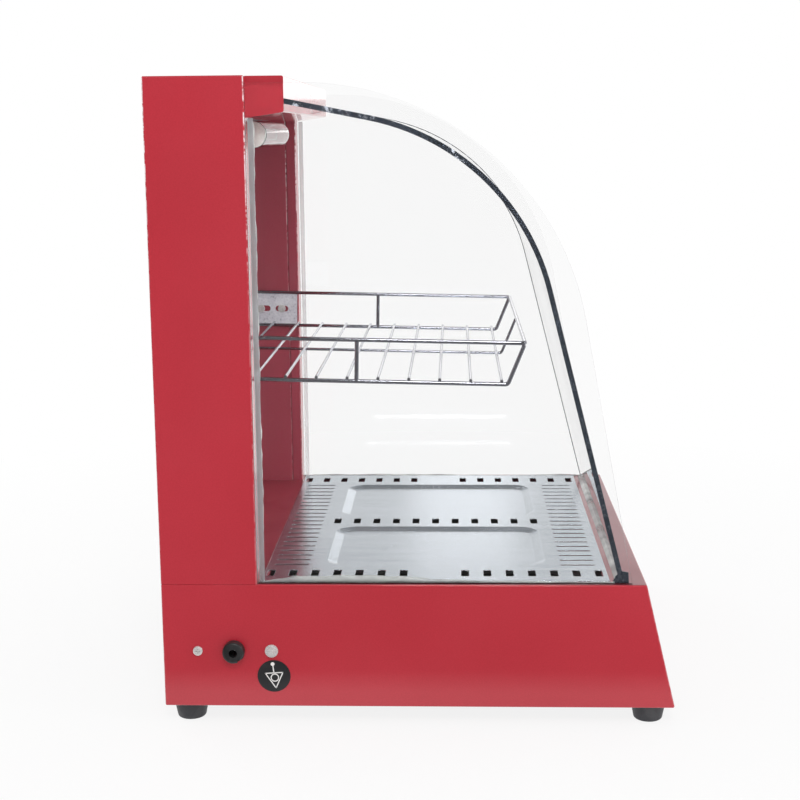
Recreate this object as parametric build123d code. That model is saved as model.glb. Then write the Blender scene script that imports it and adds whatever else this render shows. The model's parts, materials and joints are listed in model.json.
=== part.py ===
# Countertop food warmer: red folded-steel case, curved front glass, wire shelf
#
# Millimetres, +Z up, front towards -Y. Depths are measured from the rear face of
# the case, heights from the table. Each sub-part is one function or one loop.
import os
from math import cos, pi, radians, sin, sqrt

from build123d import *

# Case
CASE_W = 460.0
CASE_D = 490.0
CASE_H = 613.0
SHEET = 1.2
FOOT_H = 18.0
BASE_H = 122.0
BASE_TOP_IN = 29.0          # the front slopes back this much to the top of the base
BEND_R = 1.6                # outside radius of the folds
PLATE_BEARING = 5.0         # width on which the base's rim carries the floor plate
BOTTOM_LIP = 14.0
RECESS_D = 24.0             # how far the control panel sits in from the rear face
REAR_LIP = 10.0
SEAM = 0.3                  # running or fitting gap between neighbouring pieces

# Rear columns, hood and front beam
COLUMN_W = 30.0
COLUMN_D = 92.0
COVER_INSET = 11.0          # from the column's edges to its inner cover
COVER_RETURN = 9.0
COVER_GAP = 0.6             # open line round a column's inner cover
BEAM_D = 35.0
BEAM_H = 37.2
BEAM_RISE = 5.0             # the beam's underside climbs this much to the front
BEAM_DROP = 0.3             # the beam's top lies this much under the column tops
BEAM_ROUND = 2.0
HOOD_LIP = 12.0

# Glass
PANE_T = 5.0
PANE_INSET = 3.0            # outer face of a side pane from the side of the case
PANE_FOOT_IN = 13.5         # foot of a side pane behind the base's top edge
PANE_LEAN = 10.6            # degrees from upright along the pane's front edge
PANE_ARC_R = 264.0
PANE_TOP_DROP = 6.7         # pane's top edge under the column tops
FRONT_T = 4.0
FRONT_GAP = 1.5             # edge of the front glass to the side pane
FRONT_R = 213.0
FRONT_FOOT_IN = 22.7        # middle of the front glass behind the same edge
FRONT_LEAN = 14.3
FRONT_TOP_DROP = 22.8       # from the column tops to the glass where it enters the beam
FRONT_TOP_FALL = 11.5       # degrees below level, from the beam forwards
FRONT_SEAT = 7.0            # length hidden in the beam and in the ledge
GASKET_LIP = 0.4            # the edge seal is this much wider than the glass, each side
STRIP_W = 5.0
STRIP_T = 2.5
STRIP_OFF = 1.8             # clear strip from the column's front face
BEAD_W = 4.0

# Floor plate
PLATE_INSET = 11.0
PLATE_GAP = 3.0             # rear edge of the plate from the columns
PLATE_FRONT_IN = 34.0       # front edge of the plate behind the base's top edge
PLATE_T = 1.2
HOLE_PITCH = 21.5
HOLE_L = 7.5
HOLE_W = 20.0
HOLE_ROUND = 1.2
ROW_INSET = 36.0
ROW_START_IN = 6.5
ROW_COUNT = 7
ROW2_START_IN = 137.0       # from the front edge of the plate
MID_COUNT = 11
MID_START_IN = 56.5
SLOT_L = 34.0
SLOT_W = 3.4
SLOT_COUNT = 21
SLOT_PITCH = 16.6
SLOT_ROUND = 1.6
SLOT_REAR_IN = 24.0
SLOT_FRONT_IN = 26.0
PAN_IN = 58.0               # ends of the pans from the plate's edges
PAN_W = 146.0
PAN_OFF = 96.0
PAN_ROUND = 22.0
PAN_DEEP = 3.0
PAN_SLOPE = 9.0

# Wire shelf
RAIL_R = 2.0
CROSS_R = 1.5
WELD = 0.4
SHELF_REAR_D = 42.0
SHELF_RIM_IN = 144.0        # front wire of the rim behind the front of the case
SHELF_LEAN = 15.0           # the bent-up front ends lean this much forwards
SHELF_BEND_R = 4.0
SHELF_DROP = 240.0          # rim under the column tops
SHELF_H = 39.5
SHELF_CROSS = 10
SHELF_CROSS_D = 62.5
SHELF_DROOP = 1.4           # degrees, the loaded cantilever hangs forwards
UPRIGHT_D = 188.0
LUG_L = 52.0
LUG_T = 1.5
LUG_D = 64.0                # middle of the lug
LUG_BITE = 0.5              # how far the welded lug reaches into both wires
LUG_SLOT_L = 15.5
LUG_SLOT_W = 7.0
LUG_SLOT_D = (50.0, 71.5)
LUG_SCREW_D = (46.5, 71.5)
SCREW_R = 2.4
SCREW_HEAD_R = 4.6
SCREW_HEAD_H = 2.4
SCREW_DOME = 1.0
SCREW_L = 8.0
RECESS_L = 5.0              # cross recess of the screw heads
RECESS_W = 0.9
RECESS_DEEP = 1.0

# Lamp
LAMP_D = 95.0
LAMP_DROP = 52.4            # lamp under the column tops
LAMP_R = 12.4
LAMP_L = 198.0
HOLDER_L = 8.0
HOLDER_R = 12.0
HOLDER_WALL = 3.0
HOLDER_PAD = (26.0, 18.0, 4.0)
CAP_SEAT = 3.0
STEM_L = 18.0
STEM_R = 2.5
FILAMENT_GAP = 10.0
BULB_WALL = 0.8
FILAMENT_R = 0.5
FILAMENT_ROOT = 1.0

# Sliding rear doors
DOOR_T = 4.0
DOOR_LAP = 14.0
DOOR_REAR_D = 11.0          # rear face of the outer door
DOOR_STEP = 12.0            # from one door to the next
TRACK_H = 9.0
TRACK_TOP_H = 18.0
TRACK_FLOOR = 2.0
GROOVE_PLAY = 0.5
TRACK_EDGE = 4.0
PULL_R = 17.0
PULL_RIM = 3.5
PULL_PROUD = 1.5
PULL_EDGE = 32.0
DOOR_EDGE_R = 3.0

# Controls on the recessed rear panel
KNOB_X = 120.0
KNOB_Z = 82.0
KNOB_R = 18.0
KNOB_H = 15.0
KNOB_SKIRT_R = 21.0
KNOB_SKIRT_H = 3.0
GRIP_W = 8.0
GRIP_H = 6.0
GRIP_ROUND = 2.5
SPINDLE_R = 3.0
SPINDLE_IN = 10.0
RUNNING_PLAY = 0.05         # radial play of the spindle and the rocker pins
BODY_R = 17.0
BODY_L = 26.0
SWITCH_X = (-60.0, -20.0)
SWITCH_Z = 82.0
SWITCH_W = 19.0
SWITCH_H = 27.0
BEZEL = 3.0
BEZEL_T = 2.2
BEZEL_ROUND = 1.5
SWITCH_BODY_L = 22.0
SWITCH_WALL = 1.5
WELL_DEEP = 11.0
ROCKER_TILT = 7.0
ROCKER_SIDE = 0.35          # play between rocker and well, each side
ROCKER_END = 0.9            # play at its ends, for the tilt
ROCKER_OUT = 6.0            # from the pivot to the ends of the rocker's face
ROCKER_DISH = 1.6
ROCKER_HEEL = 2.0
ROCKER_BELLY = 5.0
ROCKER_CHAMFER = 1.2
PIVOT_R = 1.2
PIVOT_IN = 3.0              # pivot behind the panel's face
PIN_SEAT = 0.4
PIN_PLAY = 0.2
PILOT_X = 40.0
PILOT_R = 5.0
PILOT_OUT = 3.0
PILOT_DOME = 1.8
PILOT_STEP = 1.0
PILOT_L = 14.0

# Fittings on the left side of the base
SIDE_Z = 74.0
SIDE_SCREW_D = 33.6
GLAND_D = 68.5
GLAND_R = 10.5
GLAND_OUT = 9.0
GLAND_IN = 8.0
GLAND_STEP = 2.0            # from the flange's radius to the neck's
GLAND_ROUND = 2.5
GLAND_FLANGE = 3.0
GLAND_NOTCH_D = (4.0, 14.0)
GLAND_NOTCH_Z = (-14.0, -6.0)
GLAND_BORE_R = 4.0
BOND_D = 104.5
BOND_R = 2.5
BOND_OUT = 7.0
BOND_IN = 8.0
BOND_NUT_R = 4.7
BOND_NUT_H = 4.0
BOND_WASHER_R = 6.3
BOND_WASHER_T = 1.2

# Feet
FOOT_TOP_R = 17.0
FOOT_LOW_R = 13.5
FOOT_ROUND = 3.0
FOOT_IN = 22.0
FOOT_FRONT_IN = 23.0
FOOT_BORE_R = 6.0
FOOT_BORE_H = 9.0

# Heater, out of sight under the floor plate
SHIELD_Z = 62.0
SHIELD_IN = 40.0
SHIELD_REAR = 40.0          # beyond the elements at the rear and at the front
SHIELD_FRONT = 25.0
ELEMENT_R = 4.0
ELEMENT_Z = 100.0
ELEMENT_X = 110.0
ELEMENT_SPAN = 70.0
ELEMENT_REAR_D = 110.0
ELEMENT_FRONT_IN = 90.0
ELEMENT_BEND_R = 24.0
SADDLE_T = 1.5
SADDLE_W = 16.0
SADDLE_PAST = 14.0
SADDLE_IN = (30.0, 60.0)    # from the rear and the front ends of the elements
BLOCK_SIZE = (26.0, 18.0, 16.0)
BLOCK_IN = 30.0             # from the left side of the case
BLOCK_D = 44.0
BLOCK_WAYS = 3
BLOCK_SCREW_R = 2.0
BLOCK_SCREW_L = 6.0
VENT_COUNT = 9
VENT_PITCH = 26.0
VENT_SIZE = (5.0, 60.0)
VENT_ROWS = (0.3, 0.68)     # shares of the case's depth

# Worked out from the sizes above
HALF_W = CASE_W / 2
REAR = CASE_D / 2
SHIFT_X = GLAND_OUT / 2     # the gland sticks out on the left, so the middle moves
BASE_Z = FOOT_H
DECK_Z = FOOT_H + BASE_H
BASE_TOP_D = CASE_D - BASE_TOP_IN
SLOPE = BASE_TOP_IN / BASE_H
SLOPE_WALL = SHEET * sqrt(1 + SLOPE**2)
INNER_X = HALF_W - COLUMN_W
BEAM_TOP = CASE_H - BEAM_DROP
BEAM_LOW = BEAM_TOP - BEAM_H
BEAM_FRONT_D = COLUMN_D + BEAM_D
PANE_IN_X = HALF_W - PANE_INSET - PANE_T
PANE_FOOT_D = BASE_TOP_D - PANE_FOOT_IN
FRONT_X = PANE_IN_X - FRONT_GAP
FRONT_FOOT_D = BASE_TOP_D - FRONT_FOOT_IN
FRONT_TOP_Z = CASE_H - FRONT_TOP_DROP
PLATE_REAR_D = COLUMN_D + PLATE_GAP
PLATE_FRONT_D = BASE_TOP_D - PLATE_FRONT_IN
FLOOR_TOP = DECK_Z + PLATE_T
SHELF_RIM_D = CASE_D - SHELF_RIM_IN
SHELF_FRONT_D = SHELF_RIM_D - SHELF_LEAN
SHELF_RIM_Z = CASE_H - SHELF_DROP
SHELF_FLOOR_Z = SHELF_RIM_Z - SHELF_H
LUG_Z = (SHELF_FLOOR_Z + SHELF_RIM_Z) / 2
LUG_H = SHELF_RIM_Z - SHELF_FLOOR_Z - 2 * (RAIL_R - LUG_BITE)
RAIL_X = INNER_X - RAIL_R - WELD / 2
LAMP_Z = CASE_H - LAMP_DROP
ELEMENT_FRONT_D = CASE_D - ELEMENT_FRONT_IN


def front_depth(height):
    """Depth of the sloping front at a height."""
    return CASE_D - SLOPE * (height - BASE_Z)


def block(x0, x1, d0, d1, z0, z1):
    """A box between two widths, two depths and two heights."""
    middle = ((x0 + x1) / 2, REAR - (d0 + d1) / 2, (z0 + z1) / 2)
    return Pos(*middle) * Box(x1 - x0, d1 - d0, z1 - z0)


def prism(points, x0, x1):
    """A side outline of (depth, height) points, run across the width."""
    outline = make_face(Polyline(*[(REAR - d, z) for d, z in points], close=True))
    return extrude(Plane.YZ.offset(x0) * outline, x1 - x0)


def rod_x(x0, x1, depth, height, radius):
    """A round bar across the width."""
    place = Plane(origin=(x0, REAR - depth, height), z_dir=(1, 0, 0))
    return extrude(place * Circle(radius), x1 - x0)


def rod_y(x, d0, d1, height, radius):
    """A round bar running forwards from depth d0 to d1."""
    place = Plane(origin=(x, REAR - d0, height), z_dir=(0, -1, 0))
    return extrude(place * Circle(radius), d1 - d0)


def rod_z(x, depth, z0, z1, radius):
    """An upright round bar."""
    place = Plane(origin=(x, REAR - depth, z0), z_dir=(0, 0, 1))
    return extrude(place * Circle(radius), z1 - z0)


def wire(points, radius, bend_r):
    """Round wire through (x, depth, height) points, with bent corners."""
    spots = [Vector(x, REAR - d, z) for x, d, z in points]
    path = FilletPolyline(*spots, radius=bend_r) if len(spots) > 2 else Line(*spots)
    start = Plane(origin=path @ 0, z_dir=path % 0)
    return sweep(start * Circle(radius), path=path)


# Curved front glass: a straight top run, one arc and a straight lower run
FRONT_FALL = radians(FRONT_TOP_FALL)
FRONT_DROP = radians(90 - FRONT_LEAN)
FRONT_TOP_DIR = (cos(FRONT_FALL), -sin(FRONT_FALL))
FRONT_LOW_DIR = (cos(FRONT_DROP), -sin(FRONT_DROP))
FRONT_HALF_TURN = (FRONT_DROP - FRONT_FALL) / 2


def front_corner():
    """Where the two straight runs of the front glass would meet."""
    (ux, uz), (vx, vz) = FRONT_TOP_DIR, FRONT_LOW_DIR
    dx = FRONT_FOOT_D - BEAM_FRONT_D
    dz = DECK_Z - FRONT_TOP_Z
    run = (dx * vz - dz * vx) / (ux * vz - uz * vx)
    return BEAM_FRONT_D + ux * run, FRONT_TOP_Z + uz * run


def front_band(low, high, x0, x1, seat=FRONT_SEAT):
    """A curved sheet between two offsets from the glass's middle line."""
    corner_d, corner_z = front_corner()
    (ux, uz), (vx, vz) = FRONT_TOP_DIR, FRONT_LOW_DIR
    middle = FRONT_FALL + FRONT_HALF_TURN
    reach = cos(FRONT_HALF_TURN)
    sides = []
    for off in (low, high):
        start = (BEAM_FRONT_D - ux * seat - uz * off, FRONT_TOP_Z - uz * seat + ux * off)
        bend = (corner_d + sin(middle) * off / reach, corner_z + cos(middle) * off / reach)
        end = (FRONT_FOOT_D + vx * seat - vz * off, DECK_Z + vz * seat + vx * off)
        spots = [(REAR - d, z) for d, z in (start, bend, end)]
        sides.append(FilletPolyline(*spots, radius=FRONT_R + off))
    lower, upper = sides
    outline = make_face([lower, upper, Line(lower @ 0, upper @ 0), Line(lower @ 1, upper @ 1)])
    return extrude(Plane.YZ.offset(x0) * outline, x1 - x0)


def front_glass():
    return front_band(-FRONT_T / 2, FRONT_T / 2, -FRONT_X, FRONT_X)


def glass_gasket(side):
    """Black seal between the front glass's side edge and the side pane."""
    outer = FRONT_T / 2 + GASKET_LIP
    lo, hi = sorted((side * FRONT_X, side * (PANE_IN_X - SEAM)))
    whole = front_band(-outer, outer, lo, hi, seat=0)
    above = block(-CASE_W, CASE_W, -CASE_D, BEAM_FRONT_D + SEAM, 0, 2 * CASE_H)
    below = block(-CASE_W, CASE_W, 0, 2 * CASE_D, 0, DECK_Z + SEAM)
    return whole - above - below


# Side panes
def side_pane(side):
    """Flat pane with a horizontal top, one arc and a leaning front edge."""
    top = CASE_H - PANE_TOP_DROP
    lean = radians(PANE_LEAN)
    centre_z = top - PANE_ARC_R
    centre_d = PANE_FOOT_D - (PANE_ARC_R - (DECK_Z - centre_z) * sin(lean)) / cos(lean)
    rear_d = COLUMN_D + SEAM
    rise = (centre_d, top)
    tangent = (centre_d + PANE_ARC_R * cos(lean), centre_z + PANE_ARC_R * sin(lean))
    half = (pi / 2 + lean) / 2
    crown = (centre_d + PANE_ARC_R * cos(half), centre_z + PANE_ARC_R * sin(half))

    def at(point):
        return REAR - point[0], point[1]

    edges = [
        Polyline(at((PANE_FOOT_D, DECK_Z)), at((rear_d, DECK_Z)), at((rear_d, top)), at(rise)),
        ThreePointArc(at(rise), at(crown), at(tangent)),
        Line(at(tangent), at((PANE_FOOT_D, DECK_Z))),
    ]
    lo, hi = sorted((side * PANE_IN_X, side * (PANE_IN_X + PANE_T)))
    return extrude(Plane.YZ.offset(lo) * make_face(edges), hi - lo)


def edge_strip(side):
    """Clear strip on the inside of a side pane, beside the column."""
    rear = COLUMN_D + STRIP_OFF
    lo, hi = sorted((side * PANE_IN_X, side * (PANE_IN_X - STRIP_T)))
    return block(lo, hi, rear, rear + STRIP_W, DECK_Z, BEAM_LOW - SEAM)


def sill_bead():
    """Clear sealing bead along the foot of the front glass, on the ledge."""
    x = FRONT_X
    rear = FRONT_FOOT_D - FRONT_T / 2 / cos(radians(FRONT_LEAN))
    section = [(rear - BEAD_W, DECK_Z), (rear, DECK_Z), (rear, DECK_Z + BEAD_W)]
    return prism(section, -x, x) - front_glass()


# Base
def base_wrap():
    """One folded sheet: sides, sloping front, rear deck and the ledge rims."""
    def outline(inset, wall):
        low, high = BASE_Z + inset, DECK_Z - inset
        return [(inset, low), (front_depth(low) - wall, low),
                (front_depth(high) - wall, high), (inset, high)]

    shell = prism(outline(0, 0), -HALF_W, HALF_W)
    shell = fillet(shell.edges(), BEND_R)
    shell -= prism(outline(SHEET, SLOPE_WALL), -HALF_W + SHEET, HALF_W - SHEET)
    bottom_x = HALF_W - BOTTOM_LIP
    shell -= block(-bottom_x, bottom_x, RECESS_D + SHEET, CASE_D - BOTTOM_LIP, BASE_Z - 1, BASE_Z + 2 * SHEET)
    rear_x = HALF_W - REAR_LIP
    shell -= block(-rear_x, rear_x, -1, 2 * SHEET, BASE_Z + REAR_LIP, DECK_Z - REAR_LIP)
    top_x = HALF_W - PLATE_INSET - PLATE_BEARING
    shell -= block(-top_x, top_x, PLATE_REAR_D + PLATE_BEARING, PLATE_FRONT_D - PLATE_BEARING,
                   DECK_Z - 2 * SHEET, DECK_Z + 1)
    shell -= front_band(-FRONT_T / 2 - SEAM, FRONT_T / 2 + SEAM, -FRONT_X - SEAM, FRONT_X + SEAM,
                        seat=FRONT_SEAT + SEAM)
    for depth, radius in ((SIDE_SCREW_D, SCREW_R), (GLAND_D, GLAND_R - GLAND_STEP), (BOND_D, BOND_R)):
        shell -= rod_x(-HALF_W - 1, -HALF_W + 2 * SHEET, depth, SIDE_Z, radius)
    return shell


def control_panel():
    """Recessed rear panel with a return at the top and bottom."""
    x = HALF_W - SHEET - SEAM
    low, high = BASE_Z + SHEET, DECK_Z - SHEET
    reach = RECESS_D + REAR_LIP
    section = [(RECESS_D, low), (reach, low), (reach, low + SHEET), (RECESS_D + SHEET, low + SHEET),
               (RECESS_D + SHEET, high - SHEET), (reach, high - SHEET), (reach, high), (RECESS_D, high)]
    panel = prism(section, -x, x)
    near, far = RECESS_D - 1, RECESS_D + 2 * SHEET
    panel -= rod_y(KNOB_X, near, far, KNOB_Z, SPINDLE_R + 1)
    panel -= rod_y(PILOT_X, near, far, SWITCH_Z, PILOT_R - PILOT_STEP)
    for middle in SWITCH_X:
        half = SWITCH_W / 2
        panel -= block(middle - half, middle + half, near, far,
                       SWITCH_Z - SWITCH_H / 2, SWITCH_Z + SWITCH_H / 2)
    return panel


def base_bottom():
    """Vented bottom sheet on the base's bottom rims."""
    x = HALF_W - SHEET - SEAM
    low = BASE_Z + SHEET
    rear = RECESS_D + REAR_LIP + SEAM
    front = front_depth(low + SHEET) - SLOPE_WALL - SEAM
    sheet = block(-x, x, rear, front, low, low + SHEET)
    wide, long = VENT_SIZE
    for row_d in (CASE_D * share for share in VENT_ROWS):
        for i in range(VENT_COUNT):
            mid = (i - (VENT_COUNT - 1) / 2) * VENT_PITCH
            sheet -= block(mid - wide / 2, mid + wide / 2, row_d - long / 2, row_d + long / 2,
                           low - 1, low + 2 * SHEET)
    return sheet


def foot(x, depth):
    """Tapered rubber foot with a counterbore for its screw."""
    profile = Polyline((0, 0), (FOOT_LOW_R, 0), (FOOT_TOP_R, FOOT_H), (0, FOOT_H), close=True)
    body = revolve(Plane.XZ * make_face(profile), Axis.Z)
    low_edge = body.edges().filter_by(GeomType.CIRCLE).sort_by(Axis.Z)[0]
    body = fillet(low_edge, FOOT_ROUND)
    body -= Pos(0, 0, FOOT_BORE_H / 2) * Cylinder(FOOT_BORE_R, FOOT_BORE_H)
    return Pos(x, REAR - depth, 0) * body


# Columns, hood and beam
def column(side):
    """Folded column box, its inner face open between two lips."""
    lo, hi = sorted((side * HALF_W, side * INNER_X))
    body = block(lo, hi, 0, COLUMN_D, DECK_Z, CASE_H)
    body = fillet(body.edges().filter_by(Axis.Z) + body.edges().group_by(Axis.Z)[-1], BEND_R)
    body -= block(lo + SHEET, hi - SHEET, SHEET, COLUMN_D - SHEET, DECK_Z - 1, CASE_H - SHEET)
    lo, hi = sorted((side * (INNER_X - 1), side * (INNER_X + 2 * SHEET)))
    return body - block(lo, hi, COVER_INSET, COLUMN_D - COVER_INSET, DECK_Z - 1, CASE_H - BEAM_H)


def column_cover(side):
    """Flush inner cover of a column, folded in behind along both edges."""
    rear, front = COVER_INSET + COVER_GAP, COLUMN_D - COVER_INSET - COVER_GAP
    top = CASE_H - BEAM_H - SEAM
    lo, hi = sorted((side * INNER_X, side * (INNER_X + COVER_RETURN)))
    cover = block(lo, hi, rear, front, DECK_Z, top)
    face = cover.edges().filter_by(Axis.Z).group_by(Axis.X)[0 if side > 0 else -1]
    cover = fillet(face, BEND_R)
    lo, hi = sorted((side * (INNER_X + SHEET), side * (INNER_X + 2 * COVER_RETURN)))
    cover -= block(lo, hi, rear + SHEET, front - SHEET, DECK_Z - 1, top + 1)
    lo, hi = sorted((side * (INNER_X - 1), side * (INNER_X + 2 * SHEET)))
    for depth in LUG_SCREW_D:
        cover -= rod_x(lo, hi, depth, LUG_Z, SCREW_R)
    return cover


def hood():
    """Open-bottomed channel between the column tops."""
    body = block(-INNER_X, INNER_X, 0, COLUMN_D, BEAM_LOW, CASE_H)
    body = fillet(body.edges().filter_by(Axis.X).group_by(Axis.Z)[-1], BEND_R)
    inner = INNER_X - SHEET
    body -= block(-inner, inner, SHEET, COLUMN_D - SHEET, BEAM_LOW + SHEET, CASE_H - SHEET)
    lip = INNER_X - HOOD_LIP
    return body - block(-lip, lip, TRACK_D1, COLUMN_D - HOOD_LIP, BEAM_LOW - 1, BEAM_LOW + 2 * SHEET)


def hood_cover():
    """Sheet that closes the hood from inside, on its lips."""
    x = INNER_X - SHEET - SEAM
    return block(-x, x, TRACK_D1 - HOOD_LIP, COLUMN_D - SHEET - SEAM,
                 BEAM_LOW + SHEET, BEAM_LOW + 2 * SHEET)


def beam():
    """Hollow front beam, slotted for the top edge of the curved glass."""
    x = PANE_IN_X - SEAM
    low_front = BEAM_LOW + BEAM_RISE
    front = BEAM_FRONT_D
    body = prism([(COLUMN_D, BEAM_LOW), (front, low_front), (front, BEAM_TOP), (COLUMN_D, BEAM_TOP)], -x, x)
    rounds = body.edges().filter_by(Axis.X).sort_by(Axis.Y)[:2]
    body = fillet(rounds, BEAM_ROUND)
    rise = BEAM_RISE / BEAM_D
    rear, inner_front = COLUMN_D + SHEET, front - SHEET
    hollow = [(rear, BEAM_LOW + SHEET * (1 + rise)), (inner_front, low_front + SHEET * (1 - rise)),
              (inner_front, BEAM_TOP - SHEET), (rear, BEAM_TOP - SHEET)]
    body -= prism(hollow, -x + SHEET, x - SHEET)
    return body - front_band(-FRONT_T / 2 - SEAM, FRONT_T / 2 + SEAM, -FRONT_X - SEAM, FRONT_X + SEAM,
                             seat=FRONT_SEAT + SEAM)


# Floor plate
def rounded_holes(spots, long, wide, corner, low, high):
    """Upright cuts with rounded corners, long in depth, at (x, depth) spots."""
    cuts = []
    for x, depth in spots:
        place = Plane(origin=(x, REAR - depth, low), z_dir=(0, 0, 1))
        cuts.append(extrude(place * RectangleRounded(wide, long, corner), high - low))
    return cuts


def floor_plate():
    """Loose stainless plate: two pressed pans, square holes and long slots."""
    x = HALF_W - PLATE_INSET
    plate = block(-x, x, PLATE_REAR_D, PLATE_FRONT_D, DECK_Z, FLOOR_TOP)
    drop = PLATE_T + PAN_DEEP
    pan_mid = (PLATE_REAR_D + PLATE_FRONT_D) / 2
    pan_l = PLATE_FRONT_D - PLATE_REAR_D - 2 * PAN_IN
    for side in (-1, 1):
        place = Plane(origin=(side * PAN_OFF, REAR - pan_mid, FLOOR_TOP), z_dir=(0, 0, 1))
        lower = RectangleRounded(PAN_W - 2 * PAN_SLOPE, pan_l - 2 * PAN_SLOPE, PAN_ROUND - PAN_SLOPE)
        under = RectangleRounded(PAN_W, pan_l, PAN_ROUND)
        plate += loft([place * under, place.offset(-drop) * lower])
        plate -= loft([place * under, place.offset(-PAN_DEEP) * lower])
    row_x = HALF_W - ROW_INSET
    spots = []
    for start in (PLATE_REAR_D + ROW_START_IN, PLATE_FRONT_D - ROW2_START_IN):
        for i in range(ROW_COUNT):
            spots += [(-row_x, start + i * HOLE_PITCH), (row_x, start + i * HOLE_PITCH)]
    spots += [(0, PLATE_REAR_D + MID_START_IN + i * HOLE_PITCH) for i in range(MID_COUNT)]
    low, high = DECK_Z - 2 * drop, FLOOR_TOP + 1
    cuts = rounded_holes(spots, HOLE_L, HOLE_W, HOLE_ROUND, low, high)
    spots = []
    for i in range(SLOT_COUNT):
        mid = (i - (SLOT_COUNT - 1) / 2) * SLOT_PITCH
        spots += [(mid, PLATE_REAR_D + SLOT_REAR_IN), (mid, PLATE_FRONT_D - SLOT_FRONT_IN)]
    cuts += rounded_holes(spots, SLOT_L, SLOT_W, SLOT_ROUND, low, high)
    return plate - cuts


# Wire shelf
def drooped(solid):
    """Turns a level shelf piece to the droop of the real, loaded shelf."""
    pivot = Vector(0, REAR - LUG_D, LUG_Z)
    return Location(pivot) * Rot(SHELF_DROOP, 0, 0) * Location(-pivot) * solid


def shelf_rim():
    """Top wire of the shelf: two sides and the front in one bent length."""
    ends = [(-RAIL_X, SHELF_REAR_D, SHELF_RIM_Z), (-RAIL_X, SHELF_RIM_D, SHELF_RIM_Z),
            (RAIL_X, SHELF_RIM_D, SHELF_RIM_Z), (RAIL_X, SHELF_REAR_D, SHELF_RIM_Z)]
    return drooped(wire(ends, RAIL_R, SHELF_BEND_R))


def shelf_grid():
    """Floor of the shelf: three long wires bent up in front, and cross wires."""
    touch_z = SHELF_RIM_Z - RAIL_R + WELD / 2
    cross_z = SHELF_FLOOR_Z + RAIL_R + CROSS_R - WELD
    lean = SHELF_LEAN / SHELF_H
    long_wires = []
    for x, radius in ((-RAIL_X, RAIL_R), (0, CROSS_R), (RAIL_X, RAIL_R)):
        low_z = cross_z - CROSS_R - radius + WELD
        end_d = SHELF_FRONT_D + lean * (touch_z - low_z)
        long_wires.append(wire([(x, SHELF_REAR_D, low_z), (x, SHELF_FRONT_D, low_z),
                                (x, end_d, touch_z)], radius, SHELF_BEND_R))
    pitch = (SHELF_FRONT_D - RAIL_R * 3 - SHELF_CROSS_D) / (SHELF_CROSS - 1)
    crosses = [rod_x(-RAIL_X - RAIL_R / 2, RAIL_X + RAIL_R / 2, SHELF_CROSS_D + i * pitch, cross_z, CROSS_R)
               for i in range(SHELF_CROSS)]
    uprights = [rod_z(side * RAIL_X, UPRIGHT_D, SHELF_FLOOR_Z, touch_z, RAIL_R) for side in (-1, 1)]
    grid = long_wires[0].fuse(*long_wires[1:], *crosses, *uprights)
    return drooped(grid)


def shelf_lug(side):
    """Slotted lug between the rim and the floor wire, flat on the column."""
    lo, hi = sorted((side * INNER_X, side * (INNER_X - LUG_T)))
    lug = block(lo, hi, LUG_D - LUG_L / 2, LUG_D + LUG_L / 2, LUG_Z - LUG_H / 2, LUG_Z + LUG_H / 2)
    for depth in LUG_SLOT_D:
        place = Plane(origin=(lo - 1, REAR - depth, LUG_Z), x_dir=(0, 1, 0), z_dir=(1, 0, 0))
        lug -= extrude(place * SlotOverall(LUG_SLOT_L, LUG_SLOT_W), LUG_T + 2)
    return drooped(lug)


def pan_screw(face, depth, height):
    """Pan-head screw with a cross recess, its head to the left of a face."""
    top = face - SCREW_HEAD_H
    head = rod_x(top, face, depth, height, SCREW_HEAD_R)
    head = fillet(head.edges().filter_by(GeomType.CIRCLE).sort_by(Axis.X)[0], SCREW_DOME)
    for wide, high in ((RECESS_W, RECESS_L), (RECESS_L, RECESS_W)):
        head -= block(top - 1, top + RECESS_DEEP, depth - wide / 2, depth + wide / 2,
                      height - high / 2, height + high / 2)
    return head + rod_x(face, face + SCREW_L, depth, height, SCREW_R)


def lug_screw(side, depth):
    """Screw through a lug slot into the column."""
    screw = pan_screw(INNER_X - LUG_T, depth, LUG_Z)
    return screw if side > 0 else mirror(screw, Plane.YZ)


# Lamp
BULB_X0 = -INNER_X + HOLDER_L + SEAM
BULB_END = BULB_X0 + LAMP_L


def lamp_holder():
    """White holder on a pad that is fixed to the left column."""
    face = -INNER_X
    body = rod_x(face, face + HOLDER_L, LAMP_D, LAMP_Z, HOLDER_R)
    long, high, thick = HOLDER_PAD
    front = LAMP_D + HOLDER_WALL
    body += block(face, face + thick, front - long, front, LAMP_Z - high / 2, LAMP_Z + high / 2)
    return body - rod_x(face + thick, face + HOLDER_L + 1, LAMP_D, LAMP_Z, HOLDER_R - HOLDER_WALL)


def lamp_cap():
    """Metal cap that sits in the holder and closes the bulb."""
    start = -INNER_X + HOLDER_PAD[2] + SEAM
    cap = rod_x(start, BULB_X0, LAMP_D, LAMP_Z, HOLDER_R - HOLDER_WALL - SEAM)
    return cap + rod_x(BULB_X0, BULB_X0 + CAP_SEAT, LAMP_D, LAMP_Z, LAMP_R - BULB_WALL)


def capsule(end, radius, start):
    """A round bar along the lamp with a half-ball at its far end."""
    middle = Pos(end - radius, REAR - LAMP_D, LAMP_Z)
    return rod_x(start, end - radius, LAMP_D, LAMP_Z, radius) + middle * Sphere(radius)


def lamp_bulb():
    """Clear tubular bulb with a round end."""
    inner = capsule(BULB_END - BULB_WALL, LAMP_R - BULB_WALL, BULB_X0 - 1)
    return capsule(BULB_END, LAMP_R, BULB_X0) - inner


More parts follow.
